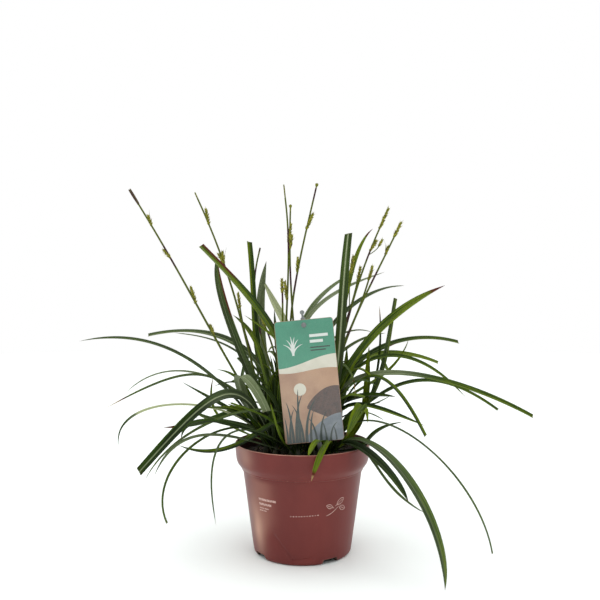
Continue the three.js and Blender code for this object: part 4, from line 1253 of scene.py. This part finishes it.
# The printed blades of grass: place in the meadow, reach, height and width.
MEADOW = [
    (-24, -1.5, 24, 2.2), (-22, 6, 31, 2.6), (-19, -4, 38, 2.8), (-16, 9, 44, 3), (-13, 2, 49, 3),
    (-10, -8, 35, 2.6), (-7, 13, 40, 3), (-3, 5, 29, 2.4), (2, -7, 23, 2.2), (6, 8, 27, 2.4),
    (11, -3, 18, 2), (15, 7, 16, 2), (20, -2, 13, 1.8),
]
TUFT = [(-9, 11), (-5.5, 15), (-1.5, 18), (2.5, 17), (6, 14.5), (9.5, 10)]  # only reach and height


def hill(left, base, rise, run):
    """A rounded hill's outline from its left foot to the card's right edge."""
    x = np.linspace(left, INK_RIGHT, 20)
    return rows_of(x, base + rise * np.sin((x - left) / run * pi) ** 0.8)


def label():
    """A generic plant label: a teal head with a grass tuft and bars over a warm dusk landscape."""
    inks = {name: card_material(f"card_{name}", *ink) for name, ink in INKS.items()}
    board = card_outline(), 0, LABEL_THICKNESS, LABEL_TILT, 0.08, inks["sand"]
    plate("label_board", *board, "label", "label_card")
    edge = card_outline(INK_INSET)
    top, corner = edge[edge[:, 1] > CARD_TOP - 5], edge[(edge[:, 0] > 5) & (edge[:, 1] < CARD_LOW + 5)]
    x = np.linspace(INK_LEFT, INK_RIGHT, 24)
    curve = -33 - 5 * np.cos((x - CARD_LEFT) / LABEL_WIDTH * pi)
    swoop, lower = rows_of(x, curve), rows_of(x, curve - 4 - 9 * (x - CARD_LEFT) / LABEL_WIDTH)
    far, near = hill(-4, -74, 17, 52), hill(-6, -101, 19, 66)
    meadow = [grass_blade(x, CARD_LOW + 0.5, *blade_form) for x, *blade_form in MEADOW]
    tuft = [grass_blade(-12, -27, reach, height, 2.1) for reach, height in TUFT]
    for name, level, ink, outlines in (
        ("head", 1, "teal", [np.concatenate([top, swoop])]),
        ("band", 1, "cream", [np.concatenate([swoop, lower[::-1]])]),
        ("far_hill", 1, "rust", [np.concatenate([far, [(INK_RIGHT, -92), (-4, -76)]])]),
        ("hill", 2, "blue", [np.concatenate([[(-6, CARD_LOW + INK_INSET)], corner, near[::-1]])]),
        ("meadow", 3, "dark", meadow),
        ("sun", 2, "cream", [arc_points(-9, -58, 5.6, 0, 360, 33)[:-1]]),
        ("tuft", 2, "white", tuft + [bar(4, -11.5, 17, 2.6), bar(4, -16.6, 12, 2.6)]),
        ("lines", 2, "dark", [bar(4, -21.4, 18, 1.1), bar(4, -24, 14, 1.1)]),
    ):
        printed(f"label_{name}", outlines, level, inks[ink])


# ---- stake ----
STAKE_BAR = [(-2.2, 6.6), (-2.2, -167), (0, -175), (2.2, -167), (2.2, 6.6)]
STAKE_NECK = [(-1.6, 6), (1.6, 6), (1.05, 8), (1.05, 11), (-1.05, 11), (-1.05, 8)]
STAKE_BACK = LABEL_THICKNESS + 0.3  # the depth of the stake's front, behind the card
KNOB_RISE = 11.6
# Radius and depth of the rings of the knob, from the stake's front, and of the stud, from the card's.
KNOB = [(0.3, 0), (1.5, 0.05), (2.0, 0.4), (2.08, 0.8), (2.0, 1.2), (1.5, 1.55), (0.3, 1.6)]
STUD_RINGS = [
    (0.1, -1.55), (0.9, -1.5), (1.7, -1.25), (2.2, -0.85), (2.35, -0.45), (1.35, -0.3),
    (1.35, STAKE_BACK + 0.4),
]


def turned_disc(name, profile, rise, front, material):
    """A body turned about local y: radius and depth of each ring, from the front to the back."""
    rings = [(arc_points(0, rise, radius, 0, 360, 33)[:-1], front + depth) for radius, depth in profile]
    body = Shape().tube(np.array([tilted(*ring, STAKE_TILT) for ring in rings]))
    finished(body.build(name, [material], smooth_angle=40), "stake")


def stake():
    """A bar behind the card, with a small knob on a neck above it and a stud through the card."""
    grey = stake_material()
    plate("stake_bar", STAKE_BAR, STAKE_BACK, 1.6, STAKE_TILT, 0.3, grey, "stake", "label_stake")
    plate("stake_neck", STAKE_NECK, STAKE_BACK + 0.1, 1.3, STAKE_TILT, 0.25, grey, "stake")
    turned_disc("stake_knob", KNOB, KNOB_RISE, STAKE_BACK, grey)
    turned_disc("stake_stud", STUD_RINGS, 0, 0, grey)


# ---- surroundings ----
FLOOR_RADIUS = 3.0
CAMERA_PLACE, CAMERA_PITCH = (-0.0024, -0.650, 0.233), 90.6
LENS, SENSOR = 40.2, 36
SUN_POWER, SUN_WIDTH = 1.35, 80
ROOM_LIGHT = (0.36, 1.15)  # at the horizon and overhead
# Name, place, target, size and power of the soft boxes.
SOFT_BOXES = [
    ("left_box", (-0.98, 0.32, 0.30), (0, 0, 0.05), (0.3, 0.7), 1.6),
    ("right_box", (1.1, -0.3, 0.5), (0, 0, 0.1), (0.5, 0.7), 0.25),
]


def camera():
    """At the photograph's viewing angle: level with the leaves, 65 cm in front."""
    data = bpy.data.cameras.new("camera")
    data.lens, data.sensor_width = LENS, SENSOR
    data.clip_start, data.clip_end = 0.01, 60
    view = placed("camera", data)
    view.location = CAMERA_PLACE
    view.rotation_euler = (radians(CAMERA_PITCH), 0, 0)
    bpy.context.scene.camera = view


def floor():
    """A pale round floor that ends far outside the picture."""
    around = 96
    mesh = bpy.data.meshes.new("floor")
    points = turned(FLOOR_RADIUS, round_about(around), 0.0)
    mesh.from_pydata(points.tolist(), [], [tuple(range(around))])
    mesh.materials.append(floor_material())
    placed("floor", mesh)


def soft_box(name, place, target, size, power):
    data = bpy.data.lights.new(name, "AREA")
    data.shape, data.size, data.size_y = "RECTANGLE", *size
    data.energy = power
    lamp = placed(name, data)
    lamp.location = place
    lamp.rotation_euler = (Vector(target) - Vector(place)).to_track_quat("-Z", "Y").to_euler()
    lamp.visible_camera = False


def studio_world():
    """White behind the plant, and for its light a room that is bright overhead and dim low down."""
    world = bpy.data.worlds.new("studio")
    world.use_nodes = True
    nodes = Network(world.node_tree)
    rise = nodes.node("SeparateXYZ", {0: nodes.node("TexCoord").outputs["Generated"]}).outputs["Z"]
    strength = nodes.node("MapRange", enumerate((rise, 0.0, 1.0, *ROOM_LIGHT))).outputs[0]
    white = {"Color": (255, 255, 255)}
    room = nodes.node("Background", {**white, "Strength": strength}).outputs[0]
    behind = nodes.node("Background", white).outputs[0]
    seen = nodes.node("LightPath").outputs["Is Camera Ray"]
    chosen = nodes.node("MixShader", {0: seen, 1: room, 2: behind}).outputs[0]
    nodes.put(world.node_tree.nodes["World Output"].inputs["Surface"], chosen)
    return world


def light():
    """A room with a very soft sun overhead, a tall soft box on the left and a faint one on the right."""
    scene = bpy.context.scene
    scene.world = studio_world()
    sun = bpy.data.lights.new("sun", "SUN")
    sun.energy, sun.angle = SUN_POWER, radians(SUN_WIDTH)
    placed("sun", sun).rotation_euler = (radians(2), radians(3), 0)
    for box in SOFT_BOXES:
        soft_box(*box)
    scene.view_settings.view_transform = "Standard"
    scene.view_settings.look = "None"
    scene.view_settings.exposure = 0.0


camera()
floor()
light()
pot()
pot_print()
soil()
label()
stake()
shoots()
culms()

bpy.context.view_layer.update()
